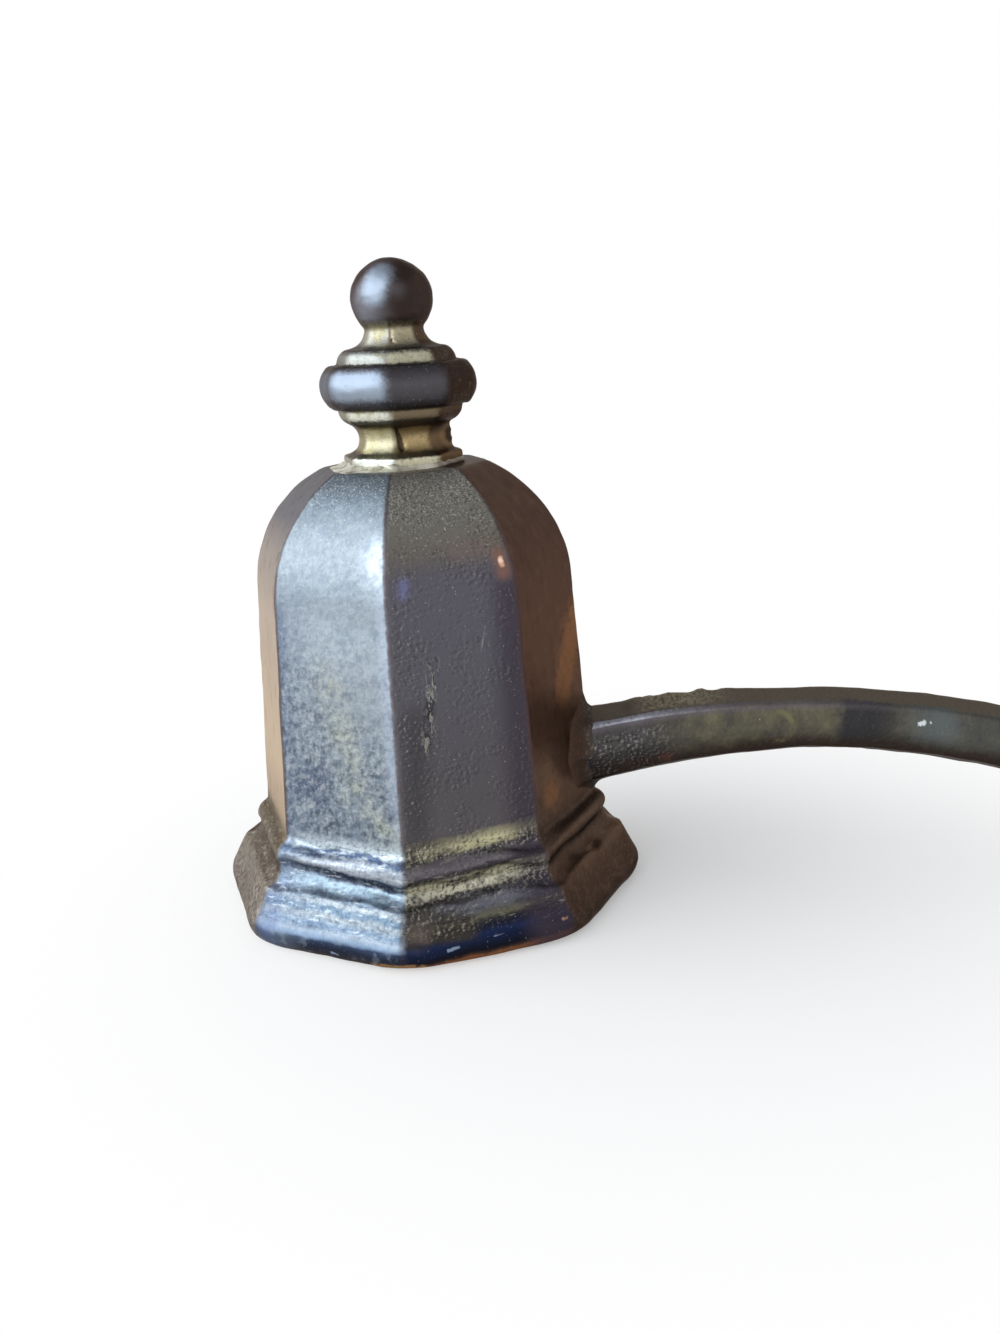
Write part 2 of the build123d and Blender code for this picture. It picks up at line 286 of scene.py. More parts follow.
bell_points[..., 0] = np.where(shown, bell_points[..., 0], inner_x)
bell_points[..., 2] = np.clip(bell_points[..., 2], 0, CROWN_Z)
cast_bell = ring_piece("cast_bell", bell_points, True, {})


class Wire:
    """A socket in a material's nodes. Arithmetic on wires adds Math nodes, and node() adds any other."""

    def __init__(self, socket):
        self.socket = socket

    def node(self, kind, settings, sockets, output=0):
        """Add a node: set its settings, or a ramp's stops, then put a value or a wire into each socket."""
        tree = self.socket.id_data
        made = tree.nodes.new(kind)
        for name, value in settings.items():
            if name == "stops":
                for place, _ in value[1:-1]:
                    made.color_ramp.elements.new(place)
                for element, (_, colour) in zip(made.color_ramp.elements, value):
                    element.color = colour
            else:
                setattr(made, name, value)
        for name, value in sockets.items():
            if isinstance(value, Wire):
                tree.links.new(value.socket, made.inputs[name])
            else:
                made.inputs[name].default_value = value
        return Wire(made.outputs[output])

    def math(self, operation, *values):
        return self.node("ShaderNodeMath", {"operation": operation}, dict(enumerate(values)))

    def __add__(self, other):
        return self.math("ADD", self, other)

    def __sub__(self, other):
        return self.math("SUBTRACT", self, other)

    def __rsub__(self, other):
        return self.math("SUBTRACT", other, self)

    def __mul__(self, other):
        return self.math("MULTIPLY", self, other)

    __radd__ = __add__
    __rmul__ = __mul__


def tone(red, green, blue):
    """A colour written as it shows on a screen, 0 to 255, turned into the shader's linear light."""
    shown_share = np.array([red, green, blue]) / 255
    light = np.where(shown_share < 0.04045, shown_share / 12.92, ((shown_share + 0.055) / 1.055) ** 2.4)
    return (*light.tolist(), 1.0)


def new_finish(name):
    """A new material with its shader, and a wire that carries the place on the piece in millimetres."""
    material = bpy.data.materials.new(name)
    material.use_nodes = True
    nodes = material.node_tree.nodes
    place = Wire(nodes.new("ShaderNodeTexCoord").outputs["Object"])
    place = place.node("ShaderNodeVectorMath", {"operation": "SCALE"}, {0: place, "Scale": 1 / MM})
    return material, nodes["Principled BSDF"], place


def feed(shader, sockets):
    """Put wires, or values that hold all over, into the shader's sockets."""
    for name, value in sockets.items():
        if isinstance(value, Wire):
            shader.id_data.links.new(value.socket, shader.inputs[name])
        else:
            shader.inputs[name].default_value = value


def clouds(place, size, detail=3.0, roughness=0.55):
    """Cloudy values about 0.5, in lumps of about that size."""
    sockets = {"Vector": place, "Scale": 1 / size, "Detail": detail, "Roughness": roughness}
    return place.node("ShaderNodeTexNoise", {}, sockets)


def between(value, low, high):
    """0 at low, 1 at high and a smooth step between, which falls where low is the greater."""
    sockets = {"Value": value, "From Min": low, "From Max": high}
    return value.node("ShaderNodeMapRange", {"interpolation_type": "SMOOTHSTEP"}, sockets)


def coat(under, over, mask):
    """One colour laid over another where the mask is 1."""
    return mask.node("ShaderNodeMix", {"data_type": "RGBA"}, {0: mask, 6: under, 7: over}, 2)


def trait(place, name):
    """The value of one of the piece's own attributes."""
    return place.node("ShaderNodeAttribute", {"attribute_name": name}, {}, 2)


def axes(place):
    """The three coordinates of a place as separate wires."""
    return [place.node("ShaderNodeSeparateXYZ", {}, {0: place}, number) for number in range(3)]


def near(place, spot, reach, core=0.0):
    """1 within the core round a spot and 0 beyond its reach, fading smoothly between."""
    distance = place.node("ShaderNodeVectorMath", {"operation": "DISTANCE"}, {0: place, 1: spot}, 1)
    return between(distance, reach, core)


def near_line(place, start, end, reach, core=0.0):
    """1 on the straight line between two spots and 0 beyond its reach: the way from the start is laid along
    the line, held between its ends, and taken off what is left over."""
    way = np.subtract(end, start)
    offset = place.node("ShaderNodeVectorMath", {"operation": "SUBTRACT"}, {0: place, 1: start})
    share = tuple(way / (way @ way))
    along = offset.node("ShaderNodeVectorMath", {"operation": "DOT_PRODUCT"}, {0: offset, 1: share}, 1)
    held = along.node("ShaderNodeClamp", {}, {0: along})
    foot = held.node("ShaderNodeVectorMath", {"operation": "SCALE"}, {0: tuple(way), "Scale": held})
    return near(offset, foot, reach, core)


def shifted(place, way):
    """The same place moved by a fixed way, for a second pattern that falls beside the first."""
    return place.node("ShaderNodeVectorMath", {"operation": "ADD"}, {0: place, 1: way})


def stretched(place, shares):
    """The same place with its coordinates scaled, which draws a pattern out along the small ones."""
    return place.node("ShaderNodeVectorMath", {"operation": "MULTIPLY"}, {0: place, 1: shares})


def marks(place, lines):
    """Short lines added up, each given as a start, an end and a reach."""
    return sum(near_line(place, *line) for line in lines)


def coats(under, layers):
    """Coats laid in turn, each given as a colour and its mask."""
    for over, mask in layers:
        under = coat(under, over, mask)
    return under


def sides_lit(place, size, way):
    """How far the flanks of a cloud's lumps face a way: the cloud, less the same cloud that way along. It
    sets where painted highlights and painted shade fall on the flanks of lumps and pits.
    """
    return clouds(place, size, 2.5, 0.5) - clouds(shifted(place, way), size, 2.5, 0.5)


def specks(place, size, amount):
    """Ragged dots of about that size, as many as the amount says: the crests of a fine cloud."""
    return between(clouds(place, size, 2.0, 0.7) + amount, 0.70, 0.76)


def ramp(value, stops):
    """A colour for each value, blended between stops of a value, red, green and blue, from low to high."""
    low, span = stops[0][0], stops[-1][0] - stops[0][0]
    settings = {"stops": [((level - low) / span, tone(*shown)) for level, *shown in stops]}
    return value.node("ShaderNodeValToRGB", settings, {0: (value - low) * (1 / span)})


def bump(place, height, depth):
    """Normals for a relief of that depth in millimetres."""
    return place.node("ShaderNodeBump", {}, {"Height": height, "Distance": depth * MM, "Strength": 1.0})


def facet(bearing, middle, soft=1.4):
    """1 on the facet whose middle faces that bearing in degrees, 0 past its two corners."""
    off = (bearing - middle).math("ABSOLUTE", bearing - middle)
    return between(off, 22.5 + soft, 22.5 - soft)


def tiers(level, foot, wall):
    """The colours of one side of the bell: stops up its foot, and others up its wall and dome."""
    return coat(ramp(level, wall), ramp(level, foot), between(level, WALL_Z + 1.0, WALL_Z + 0.7))


UMBER = tone(84, 62, 50)
OLIVE_BROWN = tone(108, 102, 88)
BACK_BRONZE = tone(96, 82, 70)
VERDIGRIS = tone(140, 138, 92)
COPPER = tone(172, 112, 76)
GINGER = tone(136, 94, 62)
# Pit, lump and speck tones. The dark ones also paint shade on flanks facing away from the lamp, and the pale
# ones paint highlights on flanks facing it.
PIT_DARK_AND_SHADE = tone(40, 38, 42)
PIT_SLATE_AND_SHADE = tone(50, 47, 51)
PIT_BLUE_AND_SHADE = tone(60, 70, 84)
SAND_PALE_AND_HIGHLIGHT = tone(190, 187, 172)
SPARK_HIGHLIGHT = tone(228, 232, 230)
BROWN_DARK = tone(60, 44, 36)
BROWN_PALE = tone(112, 90, 78)
DUST_GREY = tone(88, 84, 78)
ROSE_BROWN = tone(132, 112, 98)
SKY_GLINT = tone(112, 116, 152)
CORNER_SHADE = tone(66, 62, 66)
PLUM = tone(64, 56, 67)
ROCK_DARK = tone(62, 57, 50)
SPECK_GLINT = tone(216, 214, 202)
SCRATCH_GREY = tone(150, 148, 148)
STRIP_PALE = tone(176, 188, 206)
LEFT_GREY = tone(118, 132, 152)
LEFT_BLUE = tone(92, 106, 140)
DOME_HIGHLIGHT_PALE = tone(178, 189, 200)
DOME_HIGHLIGHT_CORE = tone(200, 208, 217)
PITTED_GREY = tone(112, 124, 138)
GREEN_PALE = tone(180, 184, 166)
NAVY = tone(78, 90, 116)
SKY_BLUE = tone(92, 126, 172)
STROKE_DARK = tone(72, 82, 96)
STROKE_HIGHLIGHT = tone(222, 230, 236)
BLOTCH_GREY = tone(122, 136, 150)
GRAIN_DARK = tone(84, 98, 114)
GRAIN_PALE = tone(222, 229, 234)
CORNER_BROWN = tone(78, 62, 64)
CHIP_GREY = tone(104, 94, 88)
CRACK_DARK = tone(34, 30, 30)
RIM_GOLD = tone(160, 124, 82)
GLINT_BLUE = tone(140, 156, 178)
GLINT_GLOW_BROWN = tone(138, 100, 84)
COPPER_WEAR_GLINT = tone(236, 186, 158)
COPPER_GLINT_CORE = tone(255, 236, 222)
DARK_EDGE = (0.5, 0.45, 0.42, 1)
FACET_COS, FACET_SIN = 0.924, 0.383
ELSEWHERE = (37.0, 91.0, 53.0)
TO_WINDOW = (-0.14, -0.05, 0.09)
ACROSS_LUMP = (-0.26, -0.09, 0.2)
# Patina up each side as a height and its colour: rim, roll, band, cove, groove, torus and lip on the foot,
# then wall, spring and crown above it. The tones are partly painted light: the front left's are paler where
# it mirrors the lamp, with painted highlights on its torus, band edge and the strip above the lip, and
# painted shade in its grooves and under the roll; the right's brown is lightened round the arm's root
# against its shade.
BLUE_FOOT = [
    (0.0, 76, 66, 62), (0.5, 46, 46, 53), (1.0, 38, 43, 60), (1.45, 46, 57, 82), (1.7, 112, 132, 156),
    (2.1, 152, 164, 178), (2.6, 112, 134, 158), (2.95, 146, 158, 168), (3.25, 150, 159, 166),
    (3.5, 110, 132, 154), (3.85, 112, 134, 154), (4.05, 158, 168, 176), (4.3, 152, 162, 172),
    (4.5, 100, 116, 136), (4.9, 148, 170, 186), (5.4, 154, 176, 192), (5.55, 86, 100, 124),
    (5.7, 44, 52, 71), (6.25, 44, 52, 71), (6.45, 150, 158, 168), (6.65, 168, 175, 184),
    (7.0, 166, 174, 184), (7.25, 140, 150, 164), (7.4, 68, 86, 116), (7.65, 76, 94, 122),
    (7.85, 198, 212, 222), (8.2, 206, 219, 228), (9.1, 150, 161, 172),
]
BLUE_WALL = [
    (9.0, 130, 141, 152), (14.0, 136, 146, 155), (22.0, 160, 170, 179), (26.0, 158, 169, 179),
    (29.0, 146, 157, 167), (32.5, 144, 154, 163), (34.4, 132, 143, 153), (35.6, 126, 139, 150),
    (37.2, 100, 111, 122),
]
SLATE_FOOT = [
    (0.0, 132, 86, 56), (0.25, 62, 46, 40), (0.5, 19, 20, 28), (1.1, 23, 32, 56), (1.7, 28, 41, 76),
    (2.1, 25, 29, 44), (2.45, 52, 52, 54), (2.75, 98, 96, 80), (3.05, 92, 90, 86), (3.4, 96, 97, 106),
    (4.2, 108, 107, 116), (4.5, 92, 88, 84), (4.65, 188, 184, 164), (4.95, 204, 200, 180),
    (5.2, 160, 156, 130), (5.8, 142, 138, 116), (6.0, 72, 68, 64), (6.2, 62, 58, 62), (6.5, 104, 99, 105),
    (7.1, 112, 107, 112), (7.4, 94, 90, 86), (7.6, 188, 184, 146), (8.1, 202, 198, 158),
    (8.5, 156, 152, 124), (9.1, 98, 94, 91),
]
SLATE_WALL = [
    (9.0, 92, 88, 91), (15.0, 90, 87, 92), (22.0, 93, 92, 99), (29.0, 94, 92, 101), (29.9, 95, 92, 99),
    (31.7, 109, 104, 99), (33.5, 128, 125, 118), (37.2, 142, 139, 133),
]
BROWN_FOOT = [
    (0.0, 76, 58, 46), (0.6, 52, 40, 35), (2.2, 66, 50, 42), (3.6, 74, 56, 46), (4.5, 94, 74, 61),
    (5.2, 76, 60, 51), (5.8, 58, 46, 41), (6.7, 96, 76, 64), (7.5, 64, 52, 45), (9.1, 88, 68, 56),
]
BROWN_WALL = [
    (9.0, 88, 68, 56), (13.0, 110, 86, 71), (18.0, 94, 69, 56), (24.0, 90, 65, 53), (33.0, 74, 57, 50),
    (37.2, 80, 65, 57),
]
TAN_FOOT = [
    (0.0, 104, 92, 84), (1.2, 124, 116, 109), (2.4, 136, 130, 124), (4.2, 144, 136, 126),
    (4.7, 112, 104, 96), (5.8, 84, 78, 70), (6.6, 134, 126, 113), (7.5, 98, 92, 78), (9.1, 198, 176, 150),
]
TAN_WALL = [
    (9.0, 198, 176, 150), (14.0, 222, 200, 172), (26.0, 206, 190, 173), (31.0, 174, 164, 157),
    (34.0, 120, 120, 127), (37.2, 116, 117, 123),
]


def bell_finish():
    """Dark patina whose tint changes from facet to facet and from tier to tier of the foot: blue grey, slate
    and brown round the front, tan on the left. The tints are partly painted light: the front left is paler
    where it faces the lamp and has a painted highlight where the dome springs, and the foot has painted
    highlights on its rounds and painted shade in its grooves. Sand-cast pits with painted light and shade
    on their flanks, verdigris crusts, and copper wear spots with painted glints."""
    material, shader, place = new_finish("patinated_bell")
    x, y, z = axes(place)
    drift = clouds(place, 5.0) - 0.5
    wobble = clouds(place, 1.8, 3.0) - 0.5
    fray = clouds(place, 0.5, 3.0, 0.6) - 0.5
    grain = clouds(place, 0.22, 3.0, 0.65)
    blotch = clouds(place, 0.9, 3.0)
    mottle = clouds(place, 2.6, 4.0)
    # Painted light on the cast lumps: flanks towards the lamp get painted highlights, the others painted
    # shade.
    lit = sides_lit(place, 0.32, TO_WINDOW)
    lit_flank, shaded_flank = between(lit, 0.04, 0.17), between(lit, -0.02, -0.14)
    lone_lit_flank = between(lit, 0.17, 0.27)
    turned = x.math("ARCTAN2", y, x) * (180 / np.pi)
    bearing = turned + drift * 0.6 + fray * 1.4
    blue_side, slate_side = facet(bearing, -112.5), facet(bearing, -67.5)
    brown_side, tan_side = facet(bearing, -22.5), facet(bearing, -157.5)
    level = z + drift * 0.5 + wobble * 0.5 + fray * 0.3

    # The right facet and the back, warm brown
    streaks = stretched(place, (1, 1, 0.12))
    brown = tiers(level, BROWN_FOOT, BROWN_WALL)
    brown = coats(brown, [
        (BACK_BRONZE, between(mottle, 0.42, 0.65) * (1 - brown_side) * 0.7),
        (UMBER, between(clouds(streaks, 1.2), 0.5, 0.65) * brown_side * 0.4),
    ])
    ginger = near_line(place, (14.0, -0.4, 23.6), (12.7, -3.6, 18.6), 3.0)
    ginger = ginger + near(place, (11.6, -7.6, 10.2), 3.0) * 0.6
    brown = coats(brown, [
        (GINGER, between(ginger + wobble, 0.1, 0.8) * 0.75),
        (BROWN_DARK, between(blotch, 0.47, 0.32) * brown_side * 0.35),
        (BROWN_PALE, between(blotch, 0.54, 0.72) * brown_side * 0.22),
        # painted shade and painted highlights on the flanks of the cast lumps
        (UMBER, shaded_flank * 0.3),
        (OLIVE_BROWN, lit_flank * between(z, 12.0, 8.0) * 0.25),
    ])
    colour = brown

    # The left facet, tan and scratched
    scratches = between(clouds(streaks, 0.5), 0.60, 0.68)
    tan = coat(tiers(level, TAN_FOOT, TAN_WALL), UMBER, scratches * 0.5)
    tan = coats(tan, [
        # painted shade and painted highlights on the flanks of the cast lumps low on the wall
        (UMBER, shaded_flank * between(z, 10.0, 7.5) * 0.5),
        (SAND_PALE_AND_HIGHLIGHT, lit_flank * between(z, 10.0, 7.5) * 0.3),
    ])
    colour = coat(colour, tan, tan_side)

    # The front right facet, slate, with crusts on its foot and one ragged split up its wall
    slate = tiers(level + x * -0.06, SLATE_FOOT, SLATE_WALL)
    dusty = between(z, 7.3, 7.6) * between(z, 9.6, 8.8) * between(x + wobble * 5, 7.0, 1.0)
    slate = coats(slate, [
        (DUST_GREY, dusty * 0.75),
        (ROSE_BROWN, near_line(place, (5.5, -10.4, 31.5), (8.0, -9.4, 31.6), 1.5) * (0.4 + wobble)),
        # a painted glint, pale blue, high on the wall
        (SKY_GLINT, near_line(place, (1.3, -12.8, 29.6), (1.2, -12.9, 28.8), 0.8) * 0.8),
        (CORNER_SHADE, near_line(place, (1.6, -13.6, 19.0), (1.0, -14.0, 10.0), 2.0) * 0.6),
        (PLUM, between(x * FACET_COS + y * FACET_SIN, 2.0, 4.6) * between(z, 31.5, 28.0) * 0.8),
    ])
    streak = near_line(place, (3.1, -12.6, 23.4), (2.2, -13.3, 16.5), 0.7)
    crusted = between(z, 9.2, 8.2) * between(z, 4.3, 4.7) * (1 - between(z, 6.0, 6.3) * between(z, 7.5, 7.3))
    loose = between(x + z * 0.12 + wobble * 5, 8.0, 2.0) * between(mottle + wobble, 0.25, 0.7)
    rocky = near_line(place, (0.9, -17.3, 3.7), (4.2, -16.6, 2.5), 2.2, 0.7) * between(z, 1.5, 2.1)
    coarse = crusted + rocky * 0.6 + streak * 0.3
    tall = stretched(place, (1, 1, 0.3))
    split = clouds(tall, 0.7, 3.0, 0.6)
    slate = coats(slate, [
        (PIT_DARK_AND_SHADE, between(split, 0.46, 0.50) * between(split, 0.55, 0.51) * streak * 0.9),
        (SAND_PALE_AND_HIGHLIGHT, between(split, 0.53, 0.56) * between(split, 0.62, 0.58) * streak * 0.5),
        (PIT_SLATE_AND_SHADE, between(blotch, 0.52, 0.36) * (crusted + rocky) * 0.55),
        (ROCK_DARK, rocky * 0.8),
    ])
    above_roll = between(z, 1.9, 2.5)
    patchy = between(mottle + fray * 0.5, 0.35, 0.68)
    # Painted shade and painted highlights on the flanks of the crusts and lumps.
    slate = coats(slate, [
        (PIT_SLATE_AND_SHADE, shaded_flank * (0.38 * patchy + 0.4 * coarse) * above_roll),
        (SAND_PALE_AND_HIGHLIGHT, (lit_flank * (0.09 * patchy + 0.3 * coarse) + lone_lit_flank * loose * 0.4) * above_roll),
    ])
    sprinkled = 0.13 * between(z + drift * 4, 30.0, 37.0) + 0.04 * streak + 0.05 * crusted + wobble * 0.05
    # Dark specks, and pale specks on the grain that are partly painted glints.
    slate = coats(slate, [
        (PIT_DARK_AND_SHADE, specks(shifted(place, ELSEWHERE), 0.2, 0.03 + sprinkled) * 0.45),
        (SPECK_GLINT, specks(place, 0.16, sprinkled + 0.01) * 0.6),
    ])
    strokes = stretched(place, (0.22, 0.22, 1))
    stroke = clouds(strokes, 0.26, 3.0, 0.6)
    stroked = between(z, 9.0, 8.2)
    slate = coats(slate, [
        (PIT_DARK_AND_SHADE, between(stroke, 0.46, 0.34) * stroked * above_roll * 0.5),
        (SAND_PALE_AND_HIGHLIGHT, between(stroke, 0.60, 0.70) * stroked * between(z, 1.9, 2.6) * 0.3),
    ])
    scratch = near_line(place, (7.1, -10.8, 25.6), (6.7, -11.1, 23.6), 0.10)
    slate = coat(slate, SCRATCH_GREY, scratch * between(fray, -0.15, 0.15) * 0.7)
    colour = coat(colour, slate, slate_side)

    # The front left facet, blue grey and pitted, with a painted highlight where the dome springs, a green run
    # down it, and strokes along its foot whose pale ones are painted highlights
    along = x * FACET_COS + y * -FACET_SIN
    sunk = between(z, 4.7, 5.6) * between(z, 7.2, 6.4)
    blue_level = z + drift * 0.4 + wobble * (0.25 + 0.65 * between(z, 2.0, 4.0)) + fray * 0.14
    blue = tiers(blue_level + along * sunk * SUNK_SLOPE, BLUE_FOOT, BLUE_WALL)
    front_strip = between(along + z * 0.023, 4.4, 5.3) * between(z, 34.0, 30.0) * between(z, 8.0, 9.5)
    blue = coat(blue, STRIP_PALE, front_strip * 0.6)
    left_strip = between(along - z * 0.023, -4.5, -5.3) * between(z, 29, 26)
    blue = coats(blue, [
        (LEFT_GREY, between(along + wobble * 3, -1.0, -5.0) * between(z, 31.0, 26.0) * 0.4),
        (LEFT_BLUE, left_strip * 0.45),
    ])
    # A painted highlight where the dome springs near the front corner: a pale glow round a brighter core.
    bright = near_line(place, (-0.75, -12.3, 32.0), (-0.7, -12.8, 30.2), 2.6)
    blue = coats(blue, [
        (DOME_HIGHLIGHT_PALE, between(bright, 0.0, 0.8) * 0.6),
        (DOME_HIGHLIGHT_CORE, between(bright, 0.7, 1.0) * 0.7),
    ])
    pitted = between(z + along * 0.7 + drift * 8 + wobble * 6, 27.0, 12.0) * between(z, 8.2, 9.2)
    pitted = pitted * (1 - 0.7 * front_strip)
    blue = coat(blue, PITTED_GREY, pitted * 0.4)
    green = near_line(place, (-5.4, -11.7, 22.0), (-3.6, -13.0, 13.0), 2.2)
    green = green.math("MAXIMUM", green, near_line(place, (-3.6, -13.0, 13.0), (-1.2, -14.2, 9.6), 2.4))
    blue = coat(blue, GREEN_PALE, green * (0.35 + wobble * 2.0))
    navy = near(place, (-7.7, -11.3, 13.0), 3.2) + near(place, (-0.9, -14.2, 11.5), 1.8) * 0.6
    blue = coat(blue, NAVY, between(navy + wobble * 1.4, 0.2, 0.8) * 0.7)
    sky = near_line(place, (-10.6, -12.4, 2.3), (-7.0, -14.4, 2.4), 1.6) * between(z, 3.6, 2.4)
    blue = coats(blue, [
        (SKY_BLUE, sky * 0.7),
        (STROKE_DARK, between(stroke, 0.48, 0.33) * stroked * above_roll * 0.5),
        # pale strokes along the foot, painted highlights
        (STROKE_HIGHLIGHT, between(stroke, 0.56, 0.68) * stroked * above_roll * 0.5),
    ])
    cast_lit = sides_lit(shifted(place, ELSEWHERE), 0.62, ACROSS_LUMP)
    cast_lit_flank, cast_shaded_flank = between(cast_lit, 0.02, 0.2), between(cast_lit, -0.02, -0.2)
    lumpy = 0.25 + 0.75 * pitted
    # Painted shade and painted highlights on the flanks of the pits and cast lumps, then blotches and grain.
    blue = coats(blue, [
        (PIT_BLUE_AND_SHADE, shaded_flank * (0.10 + 0.2 * pitted + 0.25 * stroked * above_roll)),
        (SPARK_HIGHLIGHT, lit_flank * (0.05 + 0.1 * pitted) * above_roll),
        (PIT_BLUE_AND_SHADE, cast_shaded_flank * lumpy * (0.15 + mottle * 0.9)),
        (SPARK_HIGHLIGHT, cast_lit_flank * lumpy * (0.05 + mottle * 0.4) * above_roll),
        (BLOTCH_GREY, between(blotch, 0.5, 0.34) * 0.4),
        (GRAIN_DARK, between(grain, 0.42, 0.31) * 0.35),
        (GRAIN_PALE, between(grain, 0.58, 0.70) * above_roll * 0.2),
    ])
    topmost = between(z + drift * 3, 32.0, 36.8)
    # Dark specks, and pale specks near the crown that are partly painted glints.
    blue = coats(blue, [
        (PIT_BLUE_AND_SHADE, specks(shifted(place, ELSEWHERE), 0.2, 0.14 * topmost) * 0.5),
        (SPARK_HIGHLIGHT, specks(place, 0.16, 0.13 * topmost - 0.01) * 0.6),
    ])
    colour = coat(colour, blue, blue_side)

    # Corner lines, and the marks that lie across facets
    off_corner = turned.math("PINGPONG", turned + fray, 22.5)
    corner = between(off_corner, 1.2, 0.3) * between(turned, -165.0, -140.0) * between(turned, 0.0, -25.0)
    colour = coats(colour, [
        (CORNER_BROWN, corner * between(z, 7.4, 9.0) * (0.6 + wobble * 0.8)),
        (CHIP_GREY, near(place, CHIP, 1.7) * (0.75 + fray)),
    ])
    crack = marks(place, [
        ((-0.5, -17.8, 3.1), (0.6, -17.8, 2.8), 0.16),
        ((0.3, -17.5, 3.7), (1.7, -18.1, 1.8), 0.13),
        ((-4.6, -14.8, 5.9), (-0.6, -16.2, 5.2), 0.2),
        ((-8.0, -13.4, 6.1), (-5.2, -14.6, 6.0), 0.13),
    ])
    colour = coat(colour, CRACK_DARK, between(crack * (1 + fray * 4), 0.3, 0.7) * 0.85)
    gold = near_line(place, (-2.6, -18.0, 0.1), (1.8, -18.4, 0.1), 0.8)
    colour = coat(colour, RIM_GOLD, between(gold * (1 + fray * 3), 0.2, 0.7) * 0.8)
    # Painted glints, pale blue, on the roll of the foot.
    glints = marks(place, [
        ((3.4, -17.5, 1.3), (4.2, -17.2, 1.45), 0.24),
        ((6.9, -15.9, 1.7), (7.9, -15.5, 1.8), 0.14),
        ((-6.2, -16.4, 0.65), (-5.7, -16.6, 0.55), 0.24),
    ])
    colour = coat(colour, GLINT_BLUE, between(glints * (1 + fray * 6), 0.2, 1.0) * 0.8)
    # Copper wear spots on the corners brightened by painted glints, with a painted glow round the one high on
    # the dome and a painted white core in it.
    rubbed = near_line(place, (8.4, -9.6, 31.0), (8.7, -9.8, 29.6), 1.0)
    colour = coat(colour, GLINT_GLOW_BROWN, rubbed * 0.7)
    copper = near(place, (10.0, -11.8, 6.8), 0.3) + marks(place, [
        ((8.5, -9.6, 30.7), (8.6, -9.7, 30.2), 0.42),
        ((11.4, -12.9, 4.1), (12.1, -12.4, 4.15), 0.26),
        ((12.3, -13.6, 1.95), (12.6, -13.4, 2.0), 0.28),
    ])
    colour = coats(colour, [
        (COPPER_WEAR_GLINT, between(copper * (1 + fray * 3), 0.15, 0.9) * 0.9),
        (COPPER_GLINT_CORE, near(place, (8.5, -9.62, 30.55), 0.3) * 0.9),
    ])
    skin_depth = 0.01 + 0.06 * patchy * slate_side + blue_side * (0.02 + 0.5 * pitted) + 0.25 * streak
    cast_skin = clouds(place, 0.28, 3.0, 0.6) * skin_depth
    feed(shader, {
        "Base Color": colour,
        "Metallic": 0.85,
        "Roughness": 0.34 + 0.12 * mottle + 0.06 * (blue_side + slate_side),
        "Specular Tint": DARK_EDGE,
        "Normal": bump(place, cast_skin + grain * 0.04 + clouds(place, 1.4) * 0.12, 0.07),
    })
    return material


cast_bell.data.materials.append(bell_finish())
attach(cast_bell, "root")
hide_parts("bell_casting")


# Finial. A knobbed brass casting on the crown: an octagonal foot, waisted neck, cup, round collar, step and
# throat under a ball, bored blind for its stud. The hollows stay bright where the patina was rubbed away,
# the ball and the collar are dark, and a cold shut has left a notch down the front corner of the neck.
FOOT_TOP = CROWN_Z + 1.0
NECK_TOP = FOOT_TOP + 2.4
CUP_TOP = NECK_TOP + 1.4
COLLAR_TOP = CUP_TOP + 3.5
STEP_TOP = COLLAR_TOP + 1.2
THROAT_TOP = STEP_TOP + 1.55
FOOT_HALF, NECK_HALF, CUP_FOOT_HALF, CUP_HALF = 4.7, 3.4, 3.95, 4.95
COLLAR_EDGE_HALF, COLLAR_HALF, STEP_FOOT_HALF, STEP_HALF_TOP, THROAT_HALF = 5.45, 6.25, 4.75, 4.0, 2.4
BALL_RADIUS = 3.325
BALL_Z = THROAT_TOP + np.sqrt(BALL_RADIUS**2 - THROAT_HALF**2)
BALL_FLAT = 0.055
BORE_TOP = CROWN_Z + 7.2


def finial_outline():
    """Half of the finial's section, from the top of the ball down its outside and up the stud's bore."""
    foot_edge = complex(FOOT_HALF, FOOT_TOP)
    cup_foot = complex(CUP_FOOT_HALF, NECK_TOP)
    cup_edge = complex(CUP_HALF, CUP_TOP)
    collar_low = complex(COLLAR_EDGE_HALF, CUP_TOP)
    collar_high = complex(COLLAR_EDGE_HALF, COLLAR_TOP)
    step_edge = complex(STEP_HALF_TOP, STEP_TOP)
    step_bulge = complex(STEP_FOOT_HALF - 0.22, COLLAR_TOP + 0.75)
    step_foot = complex(STEP_FOOT_HALF, COLLAR_TOP)
    throat = complex(THROAT_HALF, THROAT_TOP)
    ball_top = complex(0, BALL_Z + BALL_RADIUS)
    return np.concatenate([
        arc(ball_top, complex(BALL_RADIUS, BALL_Z), throat),
        hollow(step_edge, throat)[::-1],
        arc(step_edge, step_bulge, step_foot),
        stretch(step_foot, collar_high),
        arc(collar_high, complex(COLLAR_HALF, (CUP_TOP + COLLAR_TOP) / 2), collar_low),
        stretch(collar_low, cup_edge),
        arc(cup_edge, complex(CUP_HALF - 0.18, CUP_TOP - 0.75), cup_foot),
        arc(cup_foot, complex(NECK_HALF, (FOOT_TOP + NECK_TOP) / 2), foot_edge),
        stretch(foot_edge, complex(FOOT_HALF, CROWN_Z)),
        stretch(complex(FOOT_HALF, CROWN_Z), complex(STUD_HOLE, CROWN_Z)),
        stretch(complex(STUD_HOLE, CROWN_Z), complex(STUD_HOLE, BORE_TOP)),
        stretch(complex(STUD_HOLE, BORE_TOP), complex(0, BORE_TOP)),
    ])


